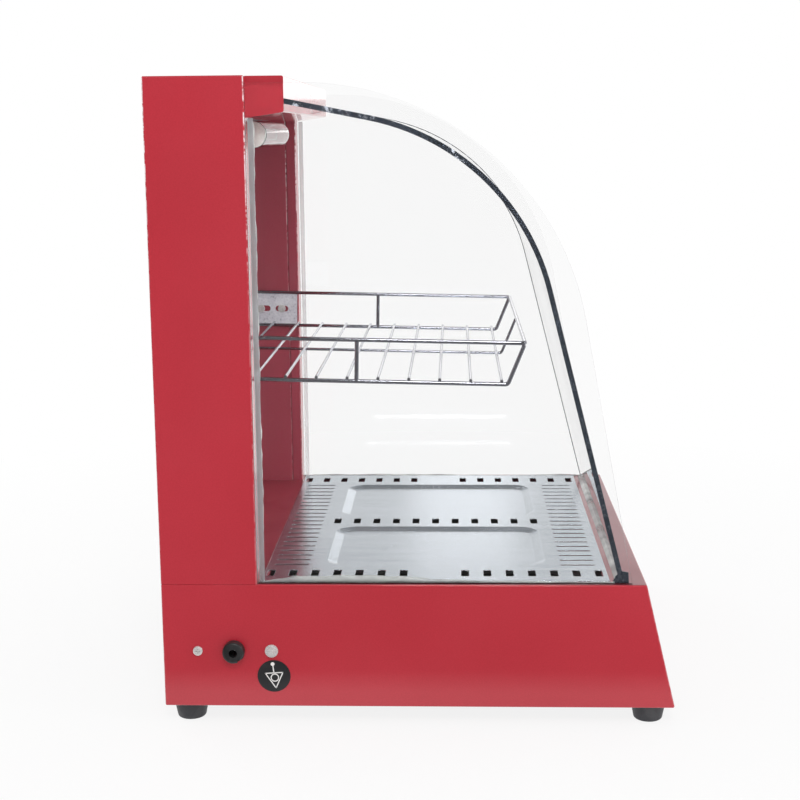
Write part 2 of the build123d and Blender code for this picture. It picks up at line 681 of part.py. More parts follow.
def lamp_filament():
    """Long filament loop on its glass stem inside the bulb."""
    start = BULB_X0 + CAP_SEAT
    root = start + STEM_L - FILAMENT_ROOT
    spread = root + FILAMENT_GAP
    end = BULB_END - 2 * LAMP_R
    half = FILAMENT_GAP / 2
    side = [(root, FILAMENT_ROOT), (spread, half), (end, half)]
    spots = [(x, LAMP_D, LAMP_Z - rise) for x, rise in side]
    spots += [(x, LAMP_D, LAMP_Z + rise) for x, rise in reversed(side)]
    loop = wire(spots, FILAMENT_R, FILAMENT_GAP / 4)
    return rod_x(start, start + STEM_L, LAMP_D, LAMP_Z, STEM_R) + loop


# Rear doors in their tracks
DOOR_W = (2 * INNER_X - 2 * SEAM + DOOR_LAP) / 2
DOOR_LOW = DECK_Z + TRACK_FLOOR + SEAM
DOOR_HIGH = BEAM_LOW - TRACK_TOP_H / 2
PULL_Z = (DOOR_LOW + DOOR_HIGH) / 2
TRACK_D0 = DOOR_REAR_D - TRACK_EDGE - GROOVE_PLAY
TRACK_D1 = DOOR_REAR_D + DOOR_STEP + DOOR_T + GROOVE_PLAY + TRACK_EDGE


def door_track(low, high, groove_low, groove_high):
    """Two-groove rail across the doorway."""
    x = INNER_X
    rail = block(-x, x, TRACK_D0, TRACK_D1, low, high)
    for step in (0, DOOR_STEP):
        rear = DOOR_REAR_D + step - GROOVE_PLAY
        rail -= block(-x - 1, x + 1, rear, rear + DOOR_T + 2 * GROOVE_PLAY, groove_low, groove_high)
    return rail


def door_place(side):
    """Width range and rear face of one door; the right one runs outermost."""
    edge = INNER_X - SEAM
    rear = DOOR_REAR_D if side > 0 else DOOR_REAR_D + DOOR_STEP
    lo, hi = sorted((side * edge, side * (edge - DOOR_W)))
    return lo, hi, rear


def door(side):
    """Sliding glass pane with ground corners and a hole for its pull."""
    lo, hi, rear = door_place(side)
    pane = block(lo, hi, rear, rear + DOOR_T, DOOR_LOW, DOOR_HIGH)
    pane = fillet(pane.edges().filter_by(Axis.Y), DOOR_EDGE_R)
    mid = side * (INNER_X - SEAM - PULL_EDGE)
    return pane - rod_y(mid, rear - 1, rear + DOOR_T + 1, PULL_Z, PULL_R)


def door_pull(side):
    """Recessed finger cup, flanged on the rear and closed at the back."""
    rear = door_place(side)[2]
    mid = side * (INNER_X - SEAM - PULL_EDGE)
    cup = rod_y(mid, rear - PULL_PROUD, rear, PULL_Z, PULL_R + PULL_RIM)
    cup += rod_y(mid, rear, rear + DOOR_T + PULL_PROUD, PULL_Z, PULL_R)
    return cup - rod_y(mid, rear - PULL_PROUD - 1, rear + DOOR_T, PULL_Z, PULL_R - PULL_RIM / 2)


# Controls
def thermostat_body():
    """Round thermostat behind the panel, bored for its spindle."""
    back = RECESS_D + SHEET
    body = rod_y(KNOB_X, back, back + BODY_L, KNOB_Z, BODY_R)
    return body - rod_y(KNOB_X, back - 1, back + SPINDLE_IN + 1, KNOB_Z, SPINDLE_R + RUNNING_PLAY)


def thermostat_knob():
    """Knob with a skirt, a grip bar and its spindle."""
    face = RECESS_D - SEAM
    knob = rod_y(KNOB_X, face - KNOB_SKIRT_H, face, KNOB_Z, KNOB_SKIRT_R)
    top = face - KNOB_H
    half_x, half_z = GRIP_W / 2, KNOB_R - 1
    knob += rod_y(KNOB_X, top + GRIP_H, face - KNOB_SKIRT_H, KNOB_Z, KNOB_R)
    grip = block(KNOB_X - half_x, KNOB_X + half_x, top, top + GRIP_H, KNOB_Z - half_z, KNOB_Z + half_z)
    knob += fillet(grip.edges().filter_by(Axis.Y), GRIP_ROUND)
    return knob + rod_y(KNOB_X, face, RECESS_D + SHEET + SPINDLE_IN, KNOB_Z, SPINDLE_R)


def switch_housing(middle):
    """Rocker switch body with its bezel and pivot bores."""
    outer_x, outer_z = SWITCH_W / 2 + BEZEL, SWITCH_H / 2 + BEZEL
    body_x, body_z = SWITCH_W / 2 - SEAM, SWITCH_H / 2 - SEAM
    housing = block(middle - outer_x, middle + outer_x, RECESS_D - BEZEL_T, RECESS_D,
                    SWITCH_Z - outer_z, SWITCH_Z + outer_z)
    housing = fillet(housing.edges().filter_by(Axis.Y), BEZEL_ROUND)
    housing += block(middle - body_x, middle + body_x, RECESS_D, RECESS_D + SWITCH_BODY_L,
                     SWITCH_Z - body_z, SWITCH_Z + body_z)
    well_x, well_z = body_x - SWITCH_WALL, body_z - SWITCH_WALL
    housing -= block(middle - well_x, middle + well_x, RECESS_D - BEZEL_T - 1, RECESS_D + WELL_DEEP,
                     SWITCH_Z - well_z, SWITCH_Z + well_z)
    bore_x = body_x - PIN_SEAT
    return housing - rod_x(middle - bore_x, middle + bore_x, RECESS_D + PIVOT_IN, SWITCH_Z,
                           PIVOT_R + RUNNING_PLAY)


def switch_rocker(middle):
    """Rocker on its own pivot, tilted to the off position."""
    well_x = SWITCH_W / 2 - SEAM - SWITCH_WALL
    half_x = well_x - ROCKER_SIDE
    half_z = SWITCH_H / 2 - SEAM - SWITCH_WALL - ROCKER_END
    pivot_d = RECESS_D + PIVOT_IN
    front, heel = pivot_d - ROCKER_OUT, pivot_d + ROCKER_HEEL
    outline = [(front, half_z), (front + ROCKER_DISH, 0), (front, -half_z), (heel, -half_z + ROCKER_CHAMFER),
               (pivot_d + ROCKER_BELLY, 0), (heel, half_z - ROCKER_CHAMFER)]
    body = prism([(d, SWITCH_Z + z) for d, z in outline], middle - half_x, middle + half_x)
    pin_x = well_x + SWITCH_WALL - PIN_SEAT - PIN_PLAY
    body += rod_x(middle - pin_x, middle + pin_x, pivot_d, SWITCH_Z, PIVOT_R)
    pivot = Vector(0, REAR - pivot_d, SWITCH_Z)
    return Location(pivot) * Rot(-ROCKER_TILT, 0, 0) * Location(-pivot) * body


def pilot_lamp():
    """Small domed indicator."""
    lens = rod_y(PILOT_X, RECESS_D - PILOT_OUT, RECESS_D, SWITCH_Z, PILOT_R)
    lens = fillet(lens.edges().filter_by(GeomType.CIRCLE).sort_by(Axis.Y)[-1], PILOT_DOME)
    return lens + rod_y(PILOT_X, RECESS_D, RECESS_D + PILOT_L, SWITCH_Z, PILOT_R - PILOT_STEP - SEAM)


# Fittings on the left side
def cable_gland():
    """Strain-relief bush without its cord, with a flat on the lower front."""
    neck = GLAND_R - GLAND_STEP - SEAM
    out = -HALF_W - GLAND_OUT
    bush = rod_x(out, -HALF_W, GLAND_D, SIDE_Z, GLAND_R)
    bush = fillet(bush.edges().filter_by(GeomType.CIRCLE).sort_by(Axis.X)[0], GLAND_ROUND)
    (d0, d1), (z0, z1) = GLAND_NOTCH_D, GLAND_NOTCH_Z
    bush -= block(out - 1, -HALF_W - GLAND_FLANGE, GLAND_D + d0, GLAND_D + d1, SIDE_Z + z0, SIDE_Z + z1)
    inside = -HALF_W + SHEET + GLAND_IN
    bush += rod_x(-HALF_W, inside, GLAND_D, SIDE_Z, neck)
    return bush - rod_x(out - 1, inside + 1, GLAND_D, SIDE_Z, GLAND_BORE_R)


def bonding_terminal():
    """Threaded stud with a washer and a hexagon nut."""
    stud = rod_x(-HALF_W - BOND_OUT, -HALF_W + BOND_IN, BOND_D, SIDE_Z, BOND_R)
    seat = -HALF_W - BOND_WASHER_T
    washer = rod_x(seat, -HALF_W, BOND_D, SIDE_Z, BOND_WASHER_R)
    place = Plane(origin=(seat - BOND_NUT_H, REAR - BOND_D, SIDE_Z), z_dir=(1, 0, 0))
    return stud + washer + extrude(place * RegularPolygon(BOND_NUT_R, 6), BOND_NUT_H)


# Heater
def heat_shield():
    """Reflector bench under the elements, standing on the bottom sheet."""
    x = HALF_W - SHIELD_IN
    low = BASE_Z + 2 * SHEET
    rear, front = ELEMENT_REAR_D - SHIELD_REAR, ELEMENT_FRONT_D + SHIELD_FRONT
    body = block(-x, x, rear, front, low, SHIELD_Z)
    return body - block(-x + SHEET, x - SHEET, 0, CASE_D, low - 1, SHIELD_Z - SHEET)


def element(side):
    """Tubular heating element, one long hairpin."""
    near, far = side * ELEMENT_X - ELEMENT_SPAN / 2, side * ELEMENT_X + ELEMENT_SPAN / 2
    spots = [(near, ELEMENT_REAR_D), (near, ELEMENT_FRONT_D), (far, ELEMENT_FRONT_D), (far, ELEMENT_REAR_D)]
    return wire([(x, depth, ELEMENT_Z) for x, depth in spots], ELEMENT_R, ELEMENT_BEND_R)


def saddle(depth):
    """Bench that carries both elements at one depth."""
    x = ELEMENT_X + ELEMENT_SPAN / 2 + SADDLE_PAST
    top = ELEMENT_Z - ELEMENT_R
    half = SADDLE_W / 2
    body = block(-x, x, depth - half, depth + half, SHIELD_Z, top)
    return body - block(-x + SADDLE_T, x - SADDLE_T, depth - half - 1, depth + half + 1,
                        SHIELD_Z - 1, top - SADDLE_T)


def terminal_block():
    """Three-way mains terminal block on the bottom sheet, near the gland."""
    long, wide, high = BLOCK_SIZE
    low = BASE_Z + 2 * SHEET
    start = BLOCK_IN - HALF_W
    body = block(start, start + long, BLOCK_D, BLOCK_D + wide, low, low + high)
    for i in range(BLOCK_WAYS):
        x = start + long * (i + 0.5) / BLOCK_WAYS
        body -= rod_z(x, BLOCK_D + wide / 2, low + high - BLOCK_SCREW_L, low + high + 1, BLOCK_SCREW_R)
    return body


def build():
    """Every sub-part by its node name."""
    parts = {
        "base_wrap": base_wrap(),
        "base_bottom": base_bottom(),
        "control_panel": control_panel(),
        "hood": hood(),
        "hood_cover": hood_cover(),
        "front_beam": beam(),
        "front_glass": front_glass(),
        "sill_bead": sill_bead(),
        "floor_plate": floor_plate(),
        "shelf_rim": shelf_rim(),
        "shelf_grid": shelf_grid(),
        "lamp_holder": lamp_holder(),
        "lamp_cap": lamp_cap(),
        "lamp_bulb": lamp_bulb(),
        "lamp_filament": lamp_filament(),
        "door_track_bottom": door_track(DECK_Z, DECK_Z + TRACK_H, DECK_Z + TRACK_FLOOR, CASE_H),
        "door_track_top": door_track(BEAM_LOW - TRACK_TOP_H, BEAM_LOW, 0, BEAM_LOW - TRACK_FLOOR),
        "thermostat_body": thermostat_body(),
        "thermostat_knob": thermostat_knob(),
        "pilot_lamp": pilot_lamp(),
        "cable_gland": cable_gland(),
        "bonding_terminal": bonding_terminal(),
        "side_screw": pan_screw(-HALF_W, SIDE_SCREW_D, SIDE_Z),
        "heat_shield": heat_shield(),
        "terminal_block": terminal_block(),
    }
    for name, side in (("left", -1), ("right", 1)):
        parts[f"column_{name}"] = column(side)
        parts[f"column_cover_{name}"] = column_cover(side)
        parts[f"side_pane_{name}"] = side_pane(side)
        parts[f"edge_strip_{name}"] = edge_strip(side)
        parts[f"glass_gasket_{name}"] = glass_gasket(side)
        parts[f"shelf_lug_{name}"] = shelf_lug(side)
        parts[f"door_{name}"] = door(side)
        parts[f"door_pull_{name}"] = door_pull(side)
        parts[f"element_{name}"] = element(side)
        for place, depth in zip(("rear", "front"), LUG_SCREW_D):
            parts[f"lug_screw_{name}_{place}"] = lug_screw(side, depth)
        for place, depth in (("rear", FOOT_IN), ("front", CASE_D - FOOT_FRONT_IN)):
            parts[f"foot_{place}_{name}"] = foot(side * (HALF_W - FOOT_IN), depth)
    for name, middle in zip(("heat", "light"), SWITCH_X):
        parts[f"{name}_switch_housing"] = switch_housing(middle)
        parts[f"{name}_switch_rocker"] = switch_rocker(middle)
    parts["element_saddle_rear"] = saddle(ELEMENT_REAR_D + SADDLE_IN[0])
    parts["element_saddle_front"] = saddle(ELEMENT_FRONT_D - SADDLE_IN[1])
    return parts


os.makedirs("parts", exist_ok=True)
for node, solid in build().items():
    export_step(Pos(SHIFT_X, 0, 0) * solid, f"parts/{node}.step")
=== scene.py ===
# %% [markdown]
# # A countertop food warmer, dressed for its portrait
#
# The warmer is a red folded-steel case with two flat glass sides, a bent glass front,
# a wire shelf and a perforated steel floor. Its solids come from a CAD model, so this
# lesson is mostly about surfaces: what each finish does with light, and the few thin
# things, such as silicone and printed marks, that a CAD model leaves out.
#
# The CAD model could be imported and pushed about by hand. It is loaded as a fixed
# frame instead, so every added piece takes its place from the real sizes.

# %% Load the fixed frame
import json
import math
import random

import bmesh
import bpy
from mathutils import Matrix, Vector
from mathutils.bvhtree import BVHTree


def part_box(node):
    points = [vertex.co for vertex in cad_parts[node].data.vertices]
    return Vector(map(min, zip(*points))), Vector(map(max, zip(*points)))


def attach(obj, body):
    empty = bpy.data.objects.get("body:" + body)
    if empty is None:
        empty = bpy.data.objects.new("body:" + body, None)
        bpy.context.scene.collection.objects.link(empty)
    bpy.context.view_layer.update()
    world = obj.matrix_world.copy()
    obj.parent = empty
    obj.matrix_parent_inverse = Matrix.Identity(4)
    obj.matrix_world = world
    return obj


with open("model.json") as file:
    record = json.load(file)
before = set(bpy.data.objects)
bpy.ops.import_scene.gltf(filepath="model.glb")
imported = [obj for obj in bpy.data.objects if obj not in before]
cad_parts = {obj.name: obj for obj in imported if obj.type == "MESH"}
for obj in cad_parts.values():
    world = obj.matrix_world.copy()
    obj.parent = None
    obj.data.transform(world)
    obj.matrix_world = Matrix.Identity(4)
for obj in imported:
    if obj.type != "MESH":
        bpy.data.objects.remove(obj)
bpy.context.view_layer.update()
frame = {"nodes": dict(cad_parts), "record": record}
nodes = frame["nodes"]
MM = 0.001

# %% [markdown]
# ## Where things are
#
# The case is 460 mm wide and 490 mm deep, and stands on 18 mm feet. The CAD model
# measures depth from the rear face of the case. A small helper turns such a place
# into a point of the scene, so the numbers below can be compared with a tape measure.

# %% Sizes of the case
case_low, case_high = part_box("base_wrap")
CASE_X = (case_low.x + case_high.x) / 2
REAR_Y = case_high.y
HALF_WIDTH = (case_high.x - case_low.x) / 2 / MM
DECK = case_high.z / MM


def spot(x_mm, depth_mm, z_mm):
    """A point of the scene from width, depth behind the rear face and height."""
    return Vector((CASE_X + x_mm * MM, REAR_Y - depth_mm * MM, z_mm * MM))


print("case middle", round(CASE_X, 4), "half width", round(HALF_WIDTH, 1), "deck at", round(DECK, 1))

# %% [markdown]
# ## The camera
#
# The photograph was taken from the left side, a little above the shelf and tilted
# down by about ten degrees. Guessing such a view by eye takes many tries. Here the
# place and the three angles were solved from the corners of the case, so the lens
# and the angles are simply written down.

# %% Camera
CAMERA_AT = Vector((-1.56175, -0.03516, 0.56069))
LENS_MM = 66.122
SENSOR_MM = 36.0
FARTHEST = 60.0
YAW, PITCH, ROLL = math.radians(2.16188), math.radians(10.29029), math.radians(-0.51016)

forward = Vector((math.cos(PITCH) * math.cos(YAW), math.cos(PITCH) * math.sin(YAW), -math.sin(PITCH)))
level_right = Vector((math.sin(YAW), -math.cos(YAW), 0))
level_up = level_right.cross(forward)
right = level_right * math.cos(ROLL) + level_up * math.sin(ROLL)
up = level_up * math.cos(ROLL) - level_right * math.sin(ROLL)

camera_data = bpy.data.cameras.new("portrait_camera")
camera_data.lens = LENS_MM
camera_data.sensor_width = SENSOR_MM
camera_data.clip_end = FARTHEST
camera = bpy.data.objects.new("portrait_camera", camera_data)
bpy.context.scene.collection.objects.link(camera)
axes = Matrix((right, up, -forward)).transposed()
camera.matrix_world = Matrix.Translation(CAMERA_AT) @ axes.to_4x4()
bpy.context.scene.camera = camera
print("camera tilts down", round(math.degrees(PITCH), 1), "degrees")

# %% [markdown]
# ## Node trees without tears
#
# Every finish below is a small tree of shader nodes. Building one node takes three
# lines of code, and a tree has a dozen, so a helper that makes a node, sets its
# values and plugs in its inputs keeps the recipes readable. Sockets that have no
# name of their own are counted: i0 is the first input.


# %% Helpers for colours and nodes
def linear(red, green, blue):
    """An 0 to 255 screen colour as the linear colour that shaders use."""
    channels = []
    for value in (red, green, blue):
        share = value / 255
        channels.append(share / 12.92 if share <= 0.04045 else ((share + 0.055) / 1.055) ** 2.4)
    return (*channels, 1.0)


def plug(tree, socket, value):
    """Links an output into a socket, or writes a plain value there."""
    if isinstance(value, bpy.types.NodeSocket):
        tree.links.new(value, socket)
    else:
        socket.default_value = value


def node(tree, kind, settings=None, **inputs):
    """A new node of a kind, with its settings and with inputs by name or number."""
    made = tree.nodes.new(kind)
    for name, value in (settings or {}).items():
        setattr(made, name, value)
    for name, value in inputs.items():
        key = int(name[1:]) if name[0] == "i" and name[1:].isdigit() else name.replace("_", " ")
        plug(tree, made.inputs[key], value)
    return made


print("screen grey 128 is", round(linear(128, 128, 128)[0], 3), "in linear light")


# %% Helpers for arithmetic in a tree
def maths(tree, operation, first, second=0.0, clamp=False):
    """One step of arithmetic."""
    step = node(tree, "ShaderNodeMath", {"operation": operation, "use_clamp": clamp}, i0=first, i1=second)
    return step.outputs[0]


def vector_maths(tree, operation, first, second=(0.0, 0.0, 0.0)):
    """One step of arithmetic with vectors, as outputs: the first is a vector, Value a number."""
    return node(tree, "ShaderNodeVectorMath", {"operation": operation}, i0=first, i1=second).outputs


def remap(tree, value, low, high, to_low=0.0, to_high=1.0):
    """Stretches a range of values to another one and holds the ends."""
    made = node(tree, "ShaderNodeMapRange", {"clamp": True}, Value=value)
    for name, number in zip(("From Min", "From Max", "To Min", "To Max"), (low, high, to_low, to_high)):
        plug(tree, made.inputs[name], number)
    return made.outputs[0]


def blend_numbers(tree, factor, first, second):
    """Mixes two numbers: the Mix node keeps them in its sockets 2 and 3."""
    return node(tree, "ShaderNodeMix", i0=factor, i2=first, i3=second).outputs[0]


def blend_colours(tree, factor, first, second):
    """Mixes two colours: the Mix node keeps them in its sockets 6 and 7."""
    return node(tree, "ShaderNodeMix", {"data_type": "RGBA"}, i0=factor, i6=first, i7=second).outputs[2]


print("arithmetic ready")


# %% Helpers for places and patterns
def object_place(tree):
    """The place on a piece, in metres, which moves with the piece."""
    return node(tree, "ShaderNodeTexCoord").outputs["Object"]


def split(tree, vector):
    """The X, Y and Z of a vector."""
    return node(tree, "ShaderNodeSeparateXYZ", Vector=vector).outputs


def noise(tree, place, scale, detail, **more):
    """Cloudy noise between 0 and 1."""
    return node(tree, "ShaderNodeTexNoise", Vector=place, Scale=scale, Detail=detail, **more).outputs[0]


def rounded_normal(tree, radius):
    """The normal that a surface would have with its edges rounded a little."""
    return node(tree, "ShaderNodeBevel", {"samples": 4}, Radius=radius).outputs[0]


def bounces(tree):
    """Two numbers, 0 or 1: has the ray met a mirror, and has it met a dull surface, on its way?"""
    paths = node(tree, "ShaderNodeLightPath").outputs
    return [maths(tree, "MINIMUM", paths[kind], 1.0) for kind in ("Glossy Depth", "Diffuse Depth")]


print("patterns ready")

# %% [markdown]
# ## Shared effects as node groups
#
# Sprayed enamel, brushed steel, moulded plastic and glass all carry the same few
# accidents: slow drifts of tone, fine specks, scratches that run one way, and
# smudges. Copying those nodes into every material would be hard to keep in step.
# Each effect is one group with named inputs instead, and every material places it
# with values of its own.


# %% An empty group
def new_group(name, inputs, outputs):
    """An empty shader node group with named sockets."""
    group = bpy.data.node_groups.new(name, "ShaderNodeTree")
    for title, value in inputs.items():
        kind = "NodeSocketVector" if isinstance(value, tuple) else "NodeSocketFloat"
        group.interface.new_socket(title, in_out="INPUT", socket_type=kind).default_value = value
    for title in outputs:
        group.interface.new_socket(title, in_out="OUTPUT", socket_type="NodeSocketFloat")
    entry = group.nodes.new("NodeGroupInput")
    leave = group.nodes.new("NodeGroupOutput")
    return group, entry.outputs, leave.inputs


print("groups so far", len(bpy.data.node_groups))


# %% Group: slow drift and fine specks
def make_mottle():
    """Tone drifts over the broad scale with a share of fine grain; specks are its fine peaks."""
    values = {"Broad scale": 6.0, "Fine scale": 900.0, "Fine share": 0.5}
    group, given, result = new_group("mottle", values, ["Tone", "Specks"])
    place = object_place(group)
    broad = noise(group, place, given["Broad scale"], 3.0)
    fine = noise(group, place, given["Fine scale"], 2.0)
    tone = blend_numbers(group, given["Fine share"], broad, fine)
    plug(group, result["Tone"], remap(group, tone, 0.3, 0.7))
    plug(group, result["Specks"], remap(group, fine, 0.62, 0.78))
    return group


MOTTLE = make_mottle()
print("group", MOTTLE.name, len(MOTTLE.nodes), "nodes")


# %% Group: long scratches of brushed metal
def make_brushing():
    """Noise squeezed across the grain: fine scratches, and the broad streaks among them."""
    group, given, result = new_group("brushing", {"Stretch": (20.0, 900.0, 900.0)}, ["Grain", "Streaks"])
    stretched = vector_maths(group, "MULTIPLY", object_place(group), given["Stretch"])[0]
    plug(group, result["Grain"], noise(group, stretched, 1.0, 4.0, Roughness=0.7))
    wide = noise(group, stretched, 0.12, 2.0)
    plug(group, result["Streaks"], remap(group, wide, 0.35, 0.65))
    return group


BRUSHING = make_brushing()
print("group", BRUSHING.name, len(BRUSHING.nodes), "nodes")


# %% Group: smudges and dust
def make_smudges():
    """Clouds of haze that run from a least to a most value."""
    group, given, result = new_group("smudges", {"Scale": 14.0, "Least": 0.0, "Most": 1.0}, ["Haze"])
    cloud = noise(group, object_place(group), given["Scale"], 5.0, Distortion=0.6)
    plug(group, result["Haze"], remap(group, cloud, 0.48, 0.75, given["Least"], given["Most"]))
    return group


SMUDGES = make_smudges()
print("group", SMUDGES.name, len(SMUDGES.nodes), "nodes")


# %% Group: worn edges and edge highlights
def make_edge_wear_and_highlight():
    """A mask where a rounded normal leaves the true one, which is along edges, broken by noise."""
    values = {"Width": 0.0012, "Sharpness": 6.0, "Break up": 140.0}
    group, given, result = new_group("edge_wear_and_highlight", values, ["Mask"])
    true_normal = node(group, "ShaderNodeNewGeometry").outputs["Normal"]
    agreeing = vector_maths(group, "DOT_PRODUCT", rounded_normal(group, given["Width"]), true_normal)["Value"]
    turned = maths(group, "SUBTRACT", 1.0, agreeing)
    edge = maths(group, "MULTIPLY", turned, given["Sharpness"], clamp=True)
    chips = noise(group, object_place(group), given["Break up"], 4.0)
    plug(group, result["Mask"], maths(group, "MULTIPLY", edge, remap(group, chips, 0.45, 0.6)))
    return group


EDGE_WEAR_AND_HIGHLIGHT = make_edge_wear_and_highlight()
print("group", EDGE_WEAR_AND_HIGHLIGHT.name, len(EDGE_WEAR_AND_HIGHLIGHT.nodes), "nodes")


# %% Starting a material and placing a group in it
def surface(name, **constants):
    """A new material, its tree and its Principled shader with plain values set."""
    material = bpy.data.materials.new(name)
    material.use_nodes = True
    tree = material.node_tree
    shader = tree.nodes["Principled BSDF"]
    for socket, value in constants.items():
        shader.inputs[socket.replace("_", " ")].default_value = value
    return material, tree, shader


def placed(tree, group, **values):
    """The outputs of a group node with values for its named inputs."""
    made = tree.nodes.new("ShaderNodeGroup")
    made.node_tree = group
    for name, value in values.items():
        plug(tree, made.inputs[name.replace("_", " ")], value)
    return made.outputs


def bumped(tree, shader, height, distance, strength=1.0):
    """Feeds a height into the shader's normal."""
    bump = node(tree, "ShaderNodeBump", Strength=strength, Distance=distance, Height=height)
    plug(tree, shader.inputs["Normal"], bump.outputs[0])


FINISHES = {}
SPECIAL = {}
print("finishes by slot, and special ones by piece")

# %% [markdown]
# ## Red stoved enamel
#
# The case is sprayed and baked. Close up it has orange peel, a very shallow waviness
# about a millimetre across, and its colour drifts a little. A plain red with a clear
# coat would look like toy plastic, so the drift goes into the colour and the
# roughness, and the waviness into the normal. The faces that look into the case get a
# duller red, and the deck a darker one: painted shade. On the outside of the upright
# bends a pale colour in broken dashes is a painted highlight.

# %% Reds of the enamel
OUTSIDE_REDS = (linear(182, 36, 50), linear(198, 46, 62))
# The inside reds are painted shade.
SHADED_INSIDE_REDS = (linear(156, 60, 74), linear(172, 70, 84))
# The deck red is painted shade.
SHADED_DECK_RED = linear(132, 36, 48)
RUBBED_RED = linear(214, 110, 120)
# The bend colour is a painted highlight.
BEND_HIGHLIGHT = linear(255, 240, 244)
DECK_SHADE_BELOW = (0.2, 0.3)
BEND_HIGHLIGHT_FROM = (0.42, 0.56)
print("deck red", [round(c, 3) for c in SHADED_DECK_RED[:3]])


# %% Red enamel
def enamel_colour(tree, tone):
    """The colour: outside, painted shade inside and on the deck, worn edges, painted highlight on bends."""
    face = node(tree, "ShaderNodeNewGeometry").outputs
    where, normal = split(tree, face["Position"]), split(tree, face["Normal"])

    # A face that looks into the case has a normal that points back over the middle.
    looks_in = remap(tree, maths(tree, "MULTIPLY", where["X"], normal["X"]), -0.12, -0.1, 1.0, 0.0)
    # Faces that look into the case take the inside reds: painted shade.
    colour = blend_colours(
        tree, looks_in, blend_colours(tree, tone, *OUTSIDE_REDS), blend_colours(tree, tone, *SHADED_INSIDE_REDS))

    # Upward faces low down, such as the deck, take a darker red: painted shade.
    looks_up = remap(tree, normal["Z"], 0.8, 0.95)
    deck = maths(tree, "MULTIPLY", looks_up, remap(tree, where["Z"], *DECK_SHADE_BELOW, 1.0, 0.0))
    colour = blend_colours(tree, deck, colour, SHADED_DECK_RED)

    wear = placed(tree, EDGE_WEAR_AND_HIGHLIGHT, Width=0.0011, Sharpness=3.0, Break_up=160.0)
    colour = blend_colours(tree, maths(tree, "MULTIPLY", wear["Mask"], 0.4), colour, RUBBED_RED)

    # On an upright bend the normal has both X and Y, and elsewhere only one of them.
    both_ways = maths(tree, "ABSOLUTE", maths(tree, "MULTIPLY", normal["X"], normal["Y"]))
    # The bends are painted pale in broken dashes, most strongly high up: a painted highlight.
    upper = remap(tree, where["Z"], *BEND_HIGHLIGHT_FROM, 0.15, 1.0)
    bend = maths(tree, "MULTIPLY", remap(tree, both_ways, 0.22, 0.4), upper)
    dashes = remap(tree, noise(tree, face["Position"], 120.0, 3.0, Roughness=0.7), 0.42, 0.56)
    return blend_colours(tree, maths(tree, "MULTIPLY", bend, dashes), colour, BEND_HIGHLIGHT)


def red_enamel():
    material, tree, shader = surface("red_enamel", Coat_Roughness=0.05, Coat_IOR=1.5, Specular_IOR_Level=0.3)
    drift = placed(tree, MOTTLE, Broad_scale=5.0, Fine_scale=700.0, Fine_share=0.45)
    plug(tree, shader.inputs["Base Color"], enamel_colour(tree, drift["Tone"]))
    haze = placed(tree, SMUDGES, Scale=9.0, Least=0.34, Most=0.46)
    plug(tree, shader.inputs["Roughness"], haze["Haze"])
    plug(tree, shader.inputs["Coat Weight"], remap(tree, drift["Tone"], 0.0, 1.0, 0.8, 1.0))
    peel = noise(tree, object_place(tree), 900.0, 1.0)
    bumped(tree, shader, peel, 0.00003, 0.3)
    return material


FINISHES["red_enamel"] = red_enamel()
print("enamel uses", len(FINISHES["red_enamel"].node_tree.nodes), "nodes")

# %% [markdown]
# ## Glass
#
# The panes are plain float glass, 4 and 5 mm thick. Real glass passes light, but a
# path tracer loses most lamp light at a refracting wall, and the food space would
# go dark. A common cure is to leave the glass out of shadows altogether. Here a
# Light Path node swaps in a clear shader for shadow rays alone, so that the pane
# still mirrors and bends what the camera sees. Each pane is told which way its broad
# faces look, because its other faces are cut and ground, and look greener and duller.

# %% Clear glass
CLEAR, GROUND_EDGE = linear(255, 255, 255), linear(176, 186, 186)
SHADOW_TINT = linear(236, 240, 240)
GROUND_ROUGHNESS = 0.25
GLASS_BENDING = 1.36


def clear_glass(name, broad_way, smear, bending=GLASS_BENDING):
    """Glass whose broad faces look along broad_way; its other faces are cut and ground."""
    material, tree, shader = surface(name, IOR=bending, Transmission_Weight=1.0, Metallic=0.0)
    face_normal = node(tree, "ShaderNodeNewGeometry").outputs["Normal"]
    kept = vector_maths(tree, "MULTIPLY", face_normal, broad_way)[0]
    ground = remap(tree, vector_maths(tree, "LENGTH", kept)["Value"], 0.45, 0.55, 1.0, 0.0)
    plug(tree, shader.inputs["Base Color"], blend_colours(tree, ground, CLEAR, GROUND_EDGE))
    haze = placed(tree, SMUDGES, Scale=7.0, Least=0.0, Most=smear)
    roughness = maths(tree, "MAXIMUM", haze["Haze"], maths(tree, "MULTIPLY", ground, GROUND_ROUGHNESS))
    plug(tree, shader.inputs["Roughness"], roughness)
    bumped(tree, shader, noise(tree, object_place(tree), 9.0, 1.0), 0.0003, 0.15)
    passing = node(tree, "ShaderNodeBsdfTransparent", Color=SHADOW_TINT)
    shadows = node(tree, "ShaderNodeLightPath").outputs["Is Shadow Ray"]
    mixed = node(tree, "ShaderNodeMixShader", i0=shadows, i1=shader.outputs[0], i2=passing.outputs[0])
    plug(tree, tree.nodes["Material Output"].inputs["Surface"], mixed.outputs[0])
    return material


print("glass bends light by", GLASS_BENDING)

